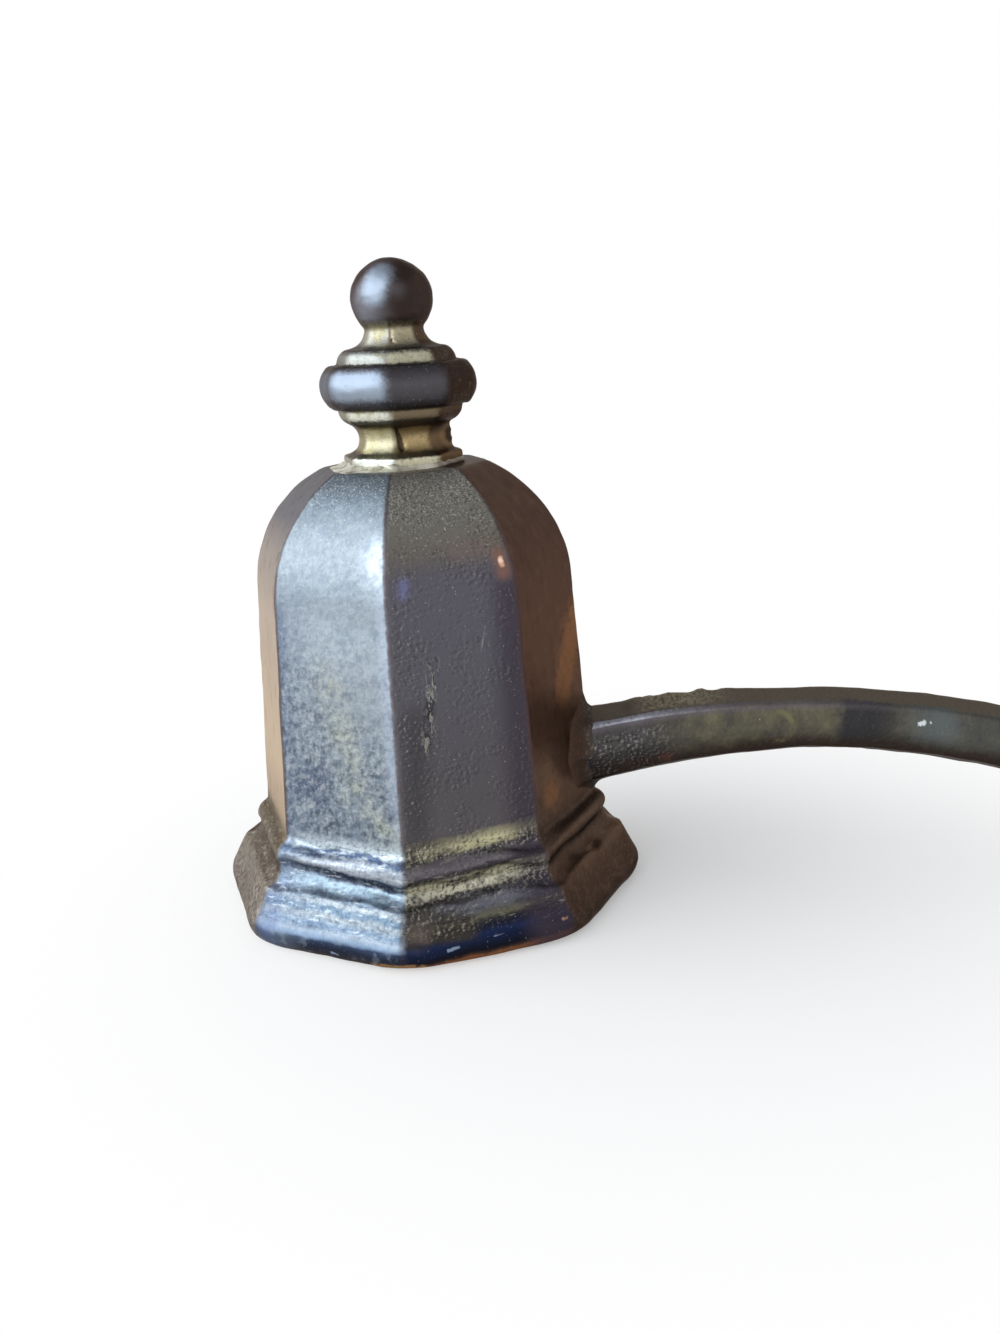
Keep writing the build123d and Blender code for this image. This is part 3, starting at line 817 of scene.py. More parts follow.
def mirrored(line):
    """A line from axis to axis, closed by its own mirror image across the axis."""
    return np.concatenate([line, -np.conj(line[::-1])])


FINIAL_BLUR = 0.15
finial_dense = even(finial_outline(), DENSE)
finial_soft = soften(mirrored(finial_dense), FINIAL_BLUR)[: len(finial_dense)]
finial_soft.real = np.maximum(finial_soft.real, 0.02)
finial_line = even(finial_soft, 0.13)
finial_ring = octagon_ring(13, 7)
half, height = finial_line.real, finial_line.imag
finial_outside = half > STUD_HOLE + 0.3
finial_outside |= height > BORE_TOP + 0.3
finial_rounding = np.minimum(
    half * 0.9,
    np.interp(
        height,
        [CROWN_Z, FOOT_TOP, NECK_TOP, CUP_TOP, CUP_TOP + 0.4, COLLAR_TOP, COLLAR_TOP + 0.3, STEP_TOP],
        [1.0, 1.0, 0.7, 1.8, 2.7, 2.7, 2.6, 2.6],
    ),
)
finial_roundness = s_curve(height, STEP_TOP - 0.1, STEP_TOP + 0.7)
finial_roundness = np.where(finial_outside, finial_roundness, 1.0)
plan = rings(half, finial_rounding, finial_roundness, finial_ring)
finial_points = upright(plan, height)
shown = finial_outside[:, None]
to_front = np.angle(finial_ring[2] * 1j)
to_side = np.angle(finial_ring[2])
front_off = to_front[None, :] * half[:, None]
side_off = to_side[None, :] * half[:, None]
notch_run = s_curve(height, FOOT_TOP + 0.15, FOOT_TOP + 0.7) * s_curve(height, NECK_TOP, NECK_TOP - 0.3)
seam_run = s_curve(height, STEP_TOP + 0.1, STEP_TOP + 0.5) * s_curve(height, THROAT_TOP + 0.7, THROAT_TOP)
fin_run = s_curve(height, FOOT_TOP + 0.1, FOOT_TOP + 0.8) * s_curve(height, NECK_TOP, NECK_TOP - 0.6)
notch_wide = np.interp(height, [FOOT_TOP, FOOT_TOP + 0.8, NECK_TOP], [0.16, 0.36, 0.09])[:, None]
notch_off = front_off - np.interp(height, [FOOT_TOP, NECK_TOP], [0.5, 0.1])[:, None]
notch = np.exp(-((notch_off / notch_wide) ** 2)) * notch_run[:, None]
seam = np.exp(-(((front_off - 0.12) / 0.08) ** 2)) * seam_run[:, None]
fin = np.exp(-((side_off / 0.55) ** 2)) * fin_run[:, None]
finial_wave = 0.022 * swell(finial_points, 3.5, 11) + 0.008 * swell(finial_points, 0.9, 12)
finial_move = finial_wave - 0.34 * notch - 0.08 * seam + 0.5 * fin
finial_move = finial_move * shown * s_curve(height, CROWN_Z + 0.02, CROWN_Z + 0.3)[:, None]
finial_points = finial_points + outward(finial_points, False) * finial_move[..., None]
finial_points[..., 2] = np.minimum(finial_points[..., 2], BALL_Z + BALL_RADIUS)
finial_points[..., 2] -= BALL_FLAT * np.maximum(finial_points[..., 2] - BALL_Z, 0)
bright_levels = np.array([
    (CROWN_Z, 1), (FOOT_TOP - 0.3, 1), (FOOT_TOP - 0.05, 0), (FOOT_TOP + 0.15, 0), (FOOT_TOP + 0.4, 1),
    (NECK_TOP - 0.25, 1), (NECK_TOP + 0.05, 0), (NECK_TOP + 0.45, 0.1), (NECK_TOP + 0.75, 1),
    (CUP_TOP - 0.05, 1), (CUP_TOP + 0.15, 0), (COLLAR_TOP - 0.15, 0), (COLLAR_TOP + 0.1, 1),
    (STEP_TOP - 0.45, 1), (STEP_TOP - 0.15, 0.1), (STEP_TOP + 0.15, 0.2), (STEP_TOP + 0.4, 1),
    (THROAT_TOP + 0.1, 1), (THROAT_TOP + 0.9, 0),
])
finial_traits = {
    "bright": np.interp(height, *bright_levels.T)[:, None],
    "seam": np.clip(notch + fin, 0, 1),
}
knobbed_finial = ring_piece("knobbed_finial", finial_points, False, finial_traits)

BALL_DARK = tone(54, 45, 43)
BALL_BROWN = tone(58, 45, 40)
BALL_REFLECTION_GREY = tone(124, 124, 132)
WINDOW_REFLECTION = tone(148, 160, 176)
SEAM_DARK = tone(50, 42, 32)
OLIVE_GOLD = tone(176, 162, 104)
CREAM_SPECK = tone(236, 236, 226)
DUST_PALE = tone(150, 150, 148)
COLLAR_BLOTCH = tone(112, 106, 108)
BALL_SHEEN = tone(92, 86, 92)
BALL_TOP_SHEEN = tone(104, 96, 100)
# Colours up the finial as a height and its colour: foot, neck, cup, collar, step and throat. They are partly
# painted light: the front left's pale ramp carries a painted highlight on the collar and is paler than the
# olive and rust ramps round the right, with the lamp on the left, and the dark lines at the ledges are
# painted shade.
PALE_STOPS = [
    (37.2, 226, 230, 220), (38.0, 230, 234, 226), (38.2, 112, 114, 104), (38.42, 86, 86, 76),
    (38.65, 186, 182, 152), (39.4, 210, 204, 174), (40.3, 192, 183, 146), (40.55, 104, 98, 78),
    (40.75, 56, 54, 50), (41.08, 90, 88, 80), (41.28, 224, 224, 208), (41.8, 226, 226, 210),
    (42.05, 60, 58, 56), (42.6, 74, 74, 80), (43.1, 140, 151, 164), (44.0, 150, 162, 178),
    (44.8, 140, 152, 168), (45.2, 78, 78, 86), (45.5, 44, 42, 44), (45.66, 166, 168, 162),
    (46.2, 182, 186, 182), (46.45, 146, 148, 144), (46.6, 62, 62, 62), (46.85, 120, 120, 114),
    (47.05, 188, 188, 178), (48.0, 192, 192, 176), (48.4, 146, 142, 118), (48.9, 80, 75, 72),
]
OLIVE_STOPS = [
    (37.2, 220, 214, 188), (38.0, 214, 208, 180), (38.2, 90, 88, 80), (38.5, 96, 90, 72),
    (38.7, 174, 152, 112), (39.5, 184, 162, 118), (40.3, 154, 131, 92), (40.6, 74, 66, 54),
    (41.1, 78, 70, 58), (41.3, 124, 108, 87), (41.85, 128, 112, 90), (42.05, 54, 50, 47),
    (43.0, 72, 69, 73), (44.0, 84, 81, 86), (45.0, 68, 65, 69), (45.5, 44, 42, 42),
    (45.66, 172, 169, 146), (46.25, 200, 196, 170), (46.5, 94, 92, 80), (46.65, 52, 50, 50),
    (46.9, 130, 126, 114), (47.2, 184, 174, 148), (48.0, 176, 165, 138),
    (48.5, 98, 89, 75), (48.9, 58, 52, 48),
]
RUST_STOPS = [
    (37.2, 104, 82, 60), (38.1, 98, 76, 54), (38.3, 66, 51, 39), (38.7, 112, 90, 66), (39.5, 120, 96, 70),
    (40.5, 66, 53, 41), (41.2, 58, 46, 38), (41.8, 80, 62, 47), (42.05, 42, 33, 29), (43.5, 49, 34, 28),
    (45.2, 46, 36, 33), (45.6, 64, 51, 42), (46.4, 62, 51, 43), (46.7, 44, 36, 33), (47.3, 90, 73, 57),
    (48.2, 80, 64, 50), (48.9, 52, 42, 38),
]


def finial_finish():
    """Smooth dark patina on the ball and collar, with painted reflections on the ball and a painted highlight
    on the collar's front left; bright brass in the hollows that turns from cream on the front left to olive
    and rust on the right, partly as painted light from the lamp on the left; painted shade in the creases and
    down the notch."""
    material, shader, place = new_finish("finial_brass")
    x, y, z = axes(place)
    bearing = x.math("ARCTAN2", y, x) * (180 / np.pi)
    mottle = clouds(place, 1.3, 4.0)
    fray = clouds(place, 0.28, 3.0, 0.6) - 0.5
    grain = clouds(place, 0.16, 2.0, 0.6)
    level = z + fray * 0.45 + (mottle - 0.5) * 0.35
    turned = bearing + fray * 6 + (mottle - 0.5) * 8
    colour = ramp(level, RUST_STOPS)
    colour = coat(colour, ramp(level, OLIVE_STOPS), facet(turned, -67.5, 5.0) + between(turned, 60.0, 110.0))
    # paler ramps towards the front left, partly painted light from the lamp there
    pale_side = facet(turned, -112.5, 5.0)
    colour = coat(colour, ramp(level, PALE_STOPS), pale_side + facet(turned, -157.5, 3.5) * 0.45)
    lit_hollow = between(trait(place, "bright") + fray, 0.4, 0.7)
    colour = coats(colour, [
        (OLIVE_BROWN, between(grain, 0.54, 0.68) * lit_hollow * 0.5),
        (OLIVE_GOLD, between(mottle, 0.54, 0.7) * lit_hollow * pale_side * 0.5),
        (CREAM_SPECK, specks(place, 0.18, 0.04 * lit_hollow - 0.015) * 0.5),
    ])
    dusty = between(z, 41.9, 42.3) * between(z, 43.4, 42.6) + between(z, 44.6, 45.1) * between(z, 45.7, 45.4)
    colour = coats(colour, [
        (DUST_PALE, specks(place, 0.2, 0.1 * dusty - 0.02) * 0.45),
        (COLLAR_BLOTCH, between(mottle + fray, 0.6, 0.85) * between(z, 42.2, 42.8) * 0.3),
    ])
    ball = coat(BALL_DARK, BALL_BROWN, between(mottle, 0.35, 0.65))
    # Painted reflections on the ball: grey low on the left, a faint sheen on the right and a pale one at the
    # top; below, the lamp's painted reflection on the upper left.
    ball = coats(ball, [
        (BALL_REFLECTION_GREY, near(place, (-1.9, -2.5, 49.7), 3.0) * 0.95),
        (BALL_SHEEN, near(place, (0.9, -3.1, 51.2), 1.2) * 0.6),
        (BALL_TOP_SHEEN, near(place, (-0.7, -1.9, 53.2), 2.0) * 0.7),
    ])
    window = near_line(place, (-0.45, -2.65, 52.4), (-0.95, -3.05, 51.1), 1.9, 0.2)
    ball = coat(ball, WINDOW_REFLECTION, between(window + fray * 0.4 + (mottle - 0.5) * 0.4, 0.0, 1.0) * 0.95)
    colour = coat(colour, ball, between(z + fray * 1.0, 48.5, 49.1))
    cold_shut = near_line(place, (0.12, -2.6, 48.6), (0.2, -2.75, 47.2), 0.14)
    # darker along the cold shut and the fin, and painted shade down the notch
    colour = coats(colour, [
        (SEAM_DARK, between(cold_shut + fray * 0.4, 0.2, 0.6) * 0.85),
        (SEAM_DARK, between(trait(place, "seam") + fray * 0.4, 0.3, 0.75) * 0.9),
    ])
    feed(shader, {
        "Base Color": colour,
        "Metallic": 0.85,
        "Roughness": 0.34 + 0.10 * mottle + 0.10 * lit_hollow,
        "Specular Tint": DARK_EDGE,
        "Normal": bump(place, grain * (0.6 + lit_hollow) + clouds(place, 0.6) * 0.8, 0.015),
    })
    return material


knobbed_finial.data.materials.append(finial_finish())
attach(knobbed_finial, "root")
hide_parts("finial")


# Solder. A soft pale bead run round the finial's foot to seal it to the crown, wiped out thin on the left.
SOLDER_LEG = 0.5
solder_ring = octagon_ring(16, 6)
bead = np.linspace(0, 1, 14)
bead_half = FOOT_HALF - 0.1 + (SOLDER_LEG + 0.1) * (1 - np.cos(bead * np.pi / 2))
bead_z = CROWN_Z - 0.03 + (SOLDER_LEG + 0.03) * np.cos(bead * np.pi / 2) ** 1.2
solder_half = np.concatenate([bead_half, [bead_half[-1], bead_half[0]]])
solder_z = np.concatenate([bead_z, [CROWN_Z - 0.3, CROWN_Z - 0.3]])
plan = rings(solder_half, np.full(16, 0.7), np.zeros(16), solder_ring)
wiped = s_curve(-solder_ring[2].real, -0.2, 0.8)
feather = np.linspace(0, 1, 14) ** 3
spread = np.concatenate([feather, [1, 0]])[:, None] * wiped[None, :] * 0.9
thinned = s_curve(solder_ring[2].real, 0.1, 0.8)
spread = spread - np.concatenate([feather, [1, 0]])[:, None] * thinned[None, :] * 0.48
plan = plan + spread * solder_ring[2][None, :]
solder_points = upright(plan, solder_z)
solder_lumps = 0.05 * swell(solder_points, 1.4, 21) + 0.02 * swell(solder_points, 0.5, 22)
solder_points[..., 2] += solder_lumps * np.concatenate([s_curve(bead, 1.0, 0.4), [0, 0]])[:, None]
solder_bead = ring_piece("solder_bead", solder_points, True, {})

SOLDER_PALE = tone(214, 210, 194)
SOLDER_GREY = tone(150, 144, 126)


def solder_finish():
    """Pale tarnished solder, dull grey where it has oxidised."""
    material, shader, place = new_finish("pale_solder")
    mottle = clouds(place, 0.8, 4.0)
    colour = coat(SOLDER_PALE, SOLDER_GREY, between(mottle, 0.45, 0.7))
    colour = coats(colour, [
        (UMBER, between(axes(place)[0] + mottle, 2.6, 4.6) * 0.8),
        (OLIVE_BROWN, between(clouds(place, 0.25), 0.58, 0.7) * 0.5),
    ])
    feed(shader, {
        "Base Color": colour,
        "Metallic": 0.7,
        "Roughness": 0.34 + 0.25 * mottle,
        "Normal": bump(place, clouds(place, 0.25), 0.03),
    })
    return material


solder_bead.data.materials.append(solder_finish())
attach(solder_bead, "root")
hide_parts("finial_solder")


# Stud. A length of brass screw rod inside the finial: its tail shows its thread below the nut.
stud_low, stud_high = (corner.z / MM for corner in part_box("finial_stud"))
STUD_RADIUS, THREAD_PITCH, THREAD_DEPTH, STUD_POINT = 2.0, 0.7, 0.3, 0.4
thread_z = np.arange(stud_low, stud_low + 1.6, 0.05)
thread_z = np.concatenate([thread_z, np.linspace(stud_low + 1.7, stud_high, 12)])
stud_turn = np.arange(64) / 64
winding = (thread_z[:, None] / THREAD_PITCH - stud_turn) % 1
thread_fade = s_curve(thread_z, stud_low + 1.6, stud_low + 1.3)[:, None]
stud_half = STUD_RADIUS - 0.02 - THREAD_DEPTH * np.abs(2 * winding - 1) * thread_fade
end_gap = np.minimum(thread_z - stud_low, stud_high - thread_z)[:, None]
stud_half = np.minimum(stud_half, STUD_RADIUS - STUD_POINT + end_gap)
stud_points = upright(stud_half * np.exp(2j * np.pi * stud_turn), thread_z)
screw_rod = ring_piece("screw_rod", stud_points, False, {})

TARNISHED_BRASS = tone(150, 122, 70)
TARNISH = tone(92, 74, 50)


def plain_brass_finish():
    """Turned brass gone brown, with fine rings from the tool and darker tarnish in patches."""
    material, shader, place = new_finish("plain_brass")
    mottle = clouds(place, 1.5, 4.0)
    colour = coat(TARNISHED_BRASS, TARNISH, between(mottle, 0.4, 0.65))
    colour = coat(colour, VERDIGRIS, between(clouds(place, 0.6), 0.6, 0.72) * 0.5)
    feed(shader, {
        "Base Color": colour,
        "Metallic": 0.95,
        "Roughness": 0.3 + 0.25 * mottle,
        "Normal": bump(place, clouds(place, 0.2) + clouds(place, 0.7), 0.015),
    })
    return material


plain_brass = plain_brass_finish()
screw_rod.data.materials.append(plain_brass)
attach(screw_rod, "root")
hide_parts("finial_stud")


# Washer, nut and burr. Plain turned brass: the washer and the nut draw the stud tight under the crown, and
# the arm's tenon is riveted over the burr. They stand as they are, in tarnished brass.
for node in ("finial_washer", "finial_nut", "handle_burr"):
    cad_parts[node].data.materials.clear()
    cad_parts[node].data.materials.append(plain_brass)


# Arm. The long cast handle: a tapered octagonal bar with one corner up, rising off the bell, dipping to the
# table and turned over at its end into a collar and a ball. Its tenon goes through the bell's wall and is
# riveted over inside. The sand has left flash along its top near the root.
ARM_ROOT_X = (WALL_HALF - (ARM_Z - WALL_Z) * WALL_LEAN) * CORNER
ROOT_HALF, SHAFT_HALF, TIP_HALF = 3.2, 2.55, 2.25
TIP_COLLAR_HALF, TIP_COLLAR_LONG, KNOP_RADIUS = 3.3, 1.6, 3.5
RIVET_X, RIVET_TALL, RIVET_RADIUS, RIVET_ROUND, TENON_RADIUS = 9.6, 1.2, 3.0, 0.9, 2.0
arm_turns = np.radians([-12.3, -19.0, 19.0, 24.0, -34.0])
ARCH_RADIUS, DROP_RADIUS, TURN_RADIUS = 84.0, 66.0, 60.0
drop_end_z = ARM_Z + ARCH_RADIUS * (1 - np.cos(arm_turns[0])) - DROP_RADIUS * (1 - np.cos(arm_turns[1]))
DIP_RADIUS = (drop_end_z - SHAFT_HALF * CORNER) / (1 - np.cos(arm_turns[2]))
arm_lengths = np.abs(arm_turns) * [ARCH_RADIUS, DROP_RADIUS, DIP_RADIUS, DIP_RADIUS, TURN_RADIUS]
arm_knots = np.concatenate([[0], np.cumsum(arm_lengths)])
arm_headings = np.concatenate([[0], np.cumsum(arm_turns)]) - arm_turns[0]
arm_end = arm_knots[-1]
knop_rise = np.sqrt(KNOP_RADIUS**2 - TIP_HALF**2)


def arm_centre(station):
    """Places and headings on the arm's centre line: the heading turns evenly along each arc and is level in
    the tenon, and the place is the running sum of small steps along it."""
    walk = np.arange(-8, arm_end + 12, DENSE)
    heading = np.where(walk < 0, 0, np.interp(walk, arm_knots, arm_headings))
    steps = np.exp(1j * heading) * DENSE
    path = np.cumsum(steps) - steps
    path += complex(ARM_ROOT_X, ARM_Z) - np.interp(0, walk, path.real) - 1j * np.interp(0, walk, path.imag)
    place = np.interp(station, walk, path.real) + 1j * np.interp(station, walk, path.imag)
    return place, np.interp(station, walk, heading)


def arm_outline():
    """Half width and station of the arm's outside, from the tip of the knop back to the rivet's face."""
    rivet_face = RIVET_X - RIVET_TALL - ARM_ROOT_X
    rivet_back = RIVET_X - ARM_ROOT_X
    shoulder = -2.0
    rivet_turn = complex(RIVET_RADIUS - RIVET_ROUND * 0.293, rivet_face + RIVET_ROUND * 0.293)
    collar_start, collar_end = arm_end, arm_end + TIP_COLLAR_LONG
    turns = [
        complex(RIVET_RADIUS, rivet_face + RIVET_ROUND),
        complex(RIVET_RADIUS, rivet_back),
        complex(TENON_RADIUS, rivet_back),
        complex(TENON_RADIUS, shoulder),
        complex(ROOT_HALF, shoulder),
        complex(ROOT_HALF, 0),
        complex(SHAFT_HALF, arm_knots[1]),
        complex(SHAFT_HALF, arm_knots[3]),
        complex(TIP_HALF, arm_knots[4]),
        complex(TIP_HALF, collar_start),
        complex(TIP_COLLAR_HALF, collar_start),
        complex(TIP_COLLAR_HALF, collar_end),
        complex(TIP_HALF, collar_end),
    ]
    return np.concatenate([
        stretch(complex(0, rivet_face), complex(RIVET_RADIUS - RIVET_ROUND, rivet_face)),
        arc(
            complex(RIVET_RADIUS - RIVET_ROUND, rivet_face),
            rivet_turn,
            complex(RIVET_RADIUS, rivet_face + RIVET_ROUND),
        ),
        *(stretch(*pair) for pair in zip(turns[:-1], turns[1:])),
        arc(
            complex(TIP_HALF, collar_end),
            complex(KNOP_RADIUS, collar_end + knop_rise),
            complex(0, collar_end + knop_rise + KNOP_RADIUS),
        ),
    ])[::-1]


arm_dense = even(arm_outline(), DENSE)
arm_soft = soften(mirrored(arm_dense), 0.16)[: len(arm_dense)]
arm_soft.real = np.maximum(arm_soft.real, 0.02)
gap_stations = [-3, -2, 24, 26, arm_end - 2, arm_end - 1]
arm_gap = np.interp(arm_soft.imag, gap_stations, [0.3, 0.4, 0.4, 0.8, 0.8, 0.15])
arm_line = even(arm_soft, arm_gap)
half, station = arm_line.real, arm_line.imag
arm_ring = octagon_ring(9, 4)
arm_roundness = s_curve(station, arm_end + TIP_COLLAR_LONG - 0.2, arm_end + TIP_COLLAR_LONG + 0.4)
arm_roundness = np.maximum(arm_roundness, s_curve(station, -1.7, -2.1))
arm_rounding = np.minimum(half * 0.9, np.interp(station, [-2, 3, 30, arm_end], [0.9, 0.65, 0.6, 0.6]))
section = rings(half, arm_rounding, arm_roundness, arm_ring)
middle, heading = arm_centre(station)


def along_arm(section, middle, heading):
    """Sections set square to the centre line: their real part lies across the arm, the other one up it."""
    return np.stack([
        middle.real[:, None] - section.imag * np.sin(heading)[:, None],
        section.real,
        middle.imag[:, None] + section.imag * np.cos(heading)[:, None],
    ], -1)


arm_points = along_arm(section, middle, heading)
arm_up = np.broadcast_to(arm_ring[2].imag, section.shape)
bar = s_curve(station, -0.5, 1.0) * s_curve(station, arm_end, arm_end - 2)
flash_run = s_curve(station, 3.0, 6.0) * s_curve(station, 15.0, 11.0)
flash = np.maximum(swell(arm_points, 2.0, 31) + 0.5, 0) * s_curve(arm_up, 0.72, 0.95) * flash_run[:, None]
arm_wave = 0.03 * swell(arm_points, 6.0, 32) + 0.012 * swell(arm_points, 1.3, 33)
arm_move = arm_wave * bar[:, None] + 0.16 * flash
arm_points = arm_points + outward(arm_points, False) * arm_move[..., None]
arm_points[..., 2] = np.maximum(arm_points[..., 2], 0)
arm_points[..., 0] = np.minimum(arm_points[..., 0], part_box("handle_arm")[1].x / MM)
arm_traits = {
    "corner": s_curve(arm_ring[3], 0.7, 1.0)[None, :] * (1 - arm_roundness)[:, None],
    "upper": arm_up,
}
curved_arm = ring_piece("curved_arm", arm_points, False, arm_traits)

ARM_SLATE = tone(70, 67, 67)
ARM_OLIVE = tone(96, 92, 76)
ARM_TOP = tone(98, 90, 80)
ARM_UNDER_SHADE = tone(50, 40, 35)
ARM_BLUE = tone(50, 51, 56)
ARM_GREY = tone(84, 89, 88)
EDGE_HIGHLIGHT = tone(168, 170, 182)
FLASH_TAN_AND_HIGHLIGHT = tone(142, 133, 110)
RING_STAIN = tone(128, 124, 88)
SMUDGE_OLIVE = tone(116, 111, 90)
ARM_SHEEN_HALO = tone(112, 122, 128)
ARM_STEEL = tone(70, 74, 80)
EDGE_SHEEN_GREY = tone(104, 97, 104)
STAR_GREY = tone(140, 140, 128)
WHITE_GLINT = tone(214, 222, 226)
RED_SPOT = tone(126, 72, 66)
LUMP_HIGHLIGHT = tone(158, 153, 144)


def arm_finish():
    """Dark bronze patina, olive above and brown beneath with painted shade on the underside, pitted near the
    root with painted light and shade on the pits' flanks, with stains along the front, a painted highlight
    along the upper front edge, and a painted glint with a sheen round it on the front."""
    material, shader, place = new_finish("arm_patina")
    x, y, z = axes(place)
    upper = trait(place, "upper")
    drift = clouds(place, 4.0) - 0.5
    mottle = clouds(place, 1.8, 4.0)
    fray = clouds(place, 0.4, 3.0, 0.6) - 0.5
    grain = clouds(place, 0.2, 2.0, 0.6)
    lit = sides_lit(place, 0.3, TO_WINDOW)
    lit_flank, shaded_flank = between(lit, 0.05, 0.18), between(lit, -0.02, -0.15)
    smudge = clouds(shifted(place, ELSEWHERE), 1.5, 4.0)
    run = x + drift * 2 + fray
    front = between(y, -0.5, -1.5)
    colour = coat(ARM_SLATE, ARM_OLIVE, between(run, 19.0, 26.0) * (0.35 + mottle * 0.9))
    colour = coats(colour, [
        (SMUDGE_OLIVE, between(smudge, 0.5, 0.66) * between(run, 19.0, 25.0) * 0.45),
        (ARM_SLATE, between(smudge, 0.48, 0.34) * 0.6),
        (ARM_BLUE, between(run, 35.4, 36.4) * between(run, 42.5, 38.0) * front * 0.9),
        (ARM_GREY, between(run, 39.8, 42.5) * between(run, 47.0, 45.0) * front * 0.7),
        # a painted sheen round the white glint
        (ARM_SHEEN_HALO, near(place, (44.2, -2.5, 13.6), 3.0) * 0.35),
        (ARM_STEEL, between(run, 45.0, 47.5) * front * 0.5),
    ])
    # A painted highlight along the upper front edge: silver near the root, over a greyer painted sheen that
    # fades further out.
    edge_height = between(upper, 0.5, 0.68) * between(upper, 0.86, 0.74) * front
    colour = coats(colour, [
        (EDGE_SHEEN_GREY, edge_height * between(run, 48.0, 30.0) * 0.55),
        # painted shade: darker brown on the underside
        (ARM_UNDER_SHADE, between(upper + fray * 0.3 + drift * 0.4, 0.0, -0.7)),
        (ARM_TOP, between(upper + fray * 0.2, 0.72, 0.82)),
    ])
    edge = between(trait(place, "corner") + fray * 0.3, 0.85, 1.05) * edge_height
    colour = coat(colour, EDGE_HIGHLIGHT, edge * between(run, 29.0, 15.0) * (0.75 + fray))
    ring_off = near(place, (30.56, -2.5, 13.86), 2.0)
    ring_band = between(ring_off, 0.06, 0.22) * between(ring_off, 0.5, 0.3) * between(x + fray, 29.8, 31.2)
    colour = coat(colour, RING_STAIN, ring_band * between(mottle, 0.3, 0.5) * 0.5)
    star = marks(place, [
        ((29.1, -2.5, 14.6), (29.4, -2.5, 13.2), 0.16),
        ((28.8, -2.5, 13.9), (29.8, -2.5, 14.1), 0.14),
    ])
    colour = coat(colour, STAR_GREY, between(star * (1 + fray * 4), 0.25, 0.8) * 0.6)
    # A painted glint, white, on the front.
    white_glint = near_line(place, (42.35, -2.5, 13.7), (42.7, -2.5, 13.9), 0.38)
    white_glint = white_glint + near(place, (43.3, -2.5, 13.9), 0.22)
    colour = coats(colour, [
        (WHITE_GLINT, between(white_glint * (1 + fray * 5), 0.15, 0.7)),
        (RED_SPOT, near(place, (21.18, -2.3, 11.6), 0.9) * 0.45),
    ])
    crumbly = between(run, 18.2, 20.4) * between(run, 27.5, 23.5) * between(upper + fray * 0.3, 0.76, 0.88)
    colour = coat(colour, FLASH_TAN_AND_HIGHLIGHT, crumbly * (0.5 + fray))
    rough_zone = between(run, 23.5, 18.0) * between(upper, 0.6, 0.3) * between(upper, -0.85, -0.5)
    rough_zone = rough_zone * between(mottle, 0.3, 0.55) + 0.7 * crumbly
    # Painted shade and painted highlights on the flanks of the pits, strongest in the rough zone.
    colour = coats(colour, [
        (PIT_DARK_AND_SHADE, shaded_flank * (0.10 + 0.6 * rough_zone)),
        (LUMP_HIGHLIGHT, lit_flank * (0.03 + 0.36 * rough_zone)),
    ])
    rubbed = trait(place, "corner") * between(clouds(place, 1.2), 0.5, 0.7) * 0.35
    colour = coat(colour, COPPER, rubbed * between(x, 60.0, 80.0))
    cast_skin = clouds(place, 0.26, 3.0, 0.6) * (0.02 + 0.6 * rough_zone) + clouds(place, 1.4) * 0.12
    feed(shader, {
        "Base Color": colour,
        "Metallic": 0.85,
        "Roughness": 0.34 + 0.16 * mottle,
        "Specular Tint": DARK_EDGE,
        "Normal": bump(place, cast_skin + grain * 0.05, 0.06),
    })
    return material


curved_arm.data.materials.append(arm_finish())
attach(curved_arm, "root")
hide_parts("handle_arm")


# Braze. Hard solder run round the arm's root: a rough brown fillet that fairs the bar into the bell's corner
# and, below, into the top of the foot.
BRAZE_LEG, BRAZE_REACH = 1.0, 1.4
braze_ring = octagon_ring(8, 6)
braze_direction = braze_ring[2]
outer_half = bell_soft.real[bell_outside][::-1]
outer_z = bell_soft.imag[bell_outside][::-1]
outer_order = np.argsort(outer_z, kind="stable")


def bell_surface_x(across, z):
    """X of the two facets that meet on the +X corner: half width less the way across, turned 22.5 degrees."""
    half_there = np.interp(z, outer_z[outer_order], outer_half[outer_order])
    return (half_there - np.abs(across) * np.sin(np.pi / 8)) * CORNER


def root_ring(half_width):
    """The arm's outline at its root, carried level onto the bell's surface."""
    outline = rings(np.array([half_width]), np.array([0.9]), np.array([0.0]), braze_ring)[0]
    across, z = outline.real, ARM_Z + outline.imag * np.cos(arm_headings[0])
    return np.stack([bell_surface_x(across, z), across, z], -1)


braze_foot = root_ring(ROOT_HALF + BRAZE_LEG) - [0.15, 0, 0]
braze_foot[:, 2] += 0.8 * np.maximum(braze_direction.imag, 0) ** 2
braze_corner = root_ring(ROOT_HALF)
braze_inside = root_ring(ROOT_HALF - 0.8) - [0.5, 0, 0]
reach_middle, reach_heading = arm_centre(np.array([BRAZE_REACH]))
reach_section = rings(np.array([ROOT_HALF - 0.1]), np.array([0.7]), np.array([0.0]), braze_ring)
braze_tip = along_arm(reach_section, reach_middle, reach_heading)[0]
bend = np.linspace(0, 1, 14)[:, None, None]
braze_curve = (1 - bend) ** 2 * braze_foot + 2 * bend * (1 - bend) * braze_corner + bend**2 * braze_tip
braze_points = np.concatenate([braze_curve, braze_inside[None]])
braze_rough = 0.015 * swell(braze_points, 1.6, 41) + 0.012 * swell(braze_points, 0.5, 42)
braze_share = np.concatenate([np.sin(np.linspace(0, np.pi, 14)), [0]])[:, None]
braze_points = braze_points + outward(braze_points, True) * (braze_rough * braze_share)[..., None]
braze_run = np.concatenate([np.linspace(0, 1, 14), [1]])[:, None]
braze_fillet = ring_piece("braze_fillet", braze_points, True, {"run": braze_run})

BRAZE_BROWN = tone(62, 48, 40)
WALL_BROWN = tone(82, 62, 51)


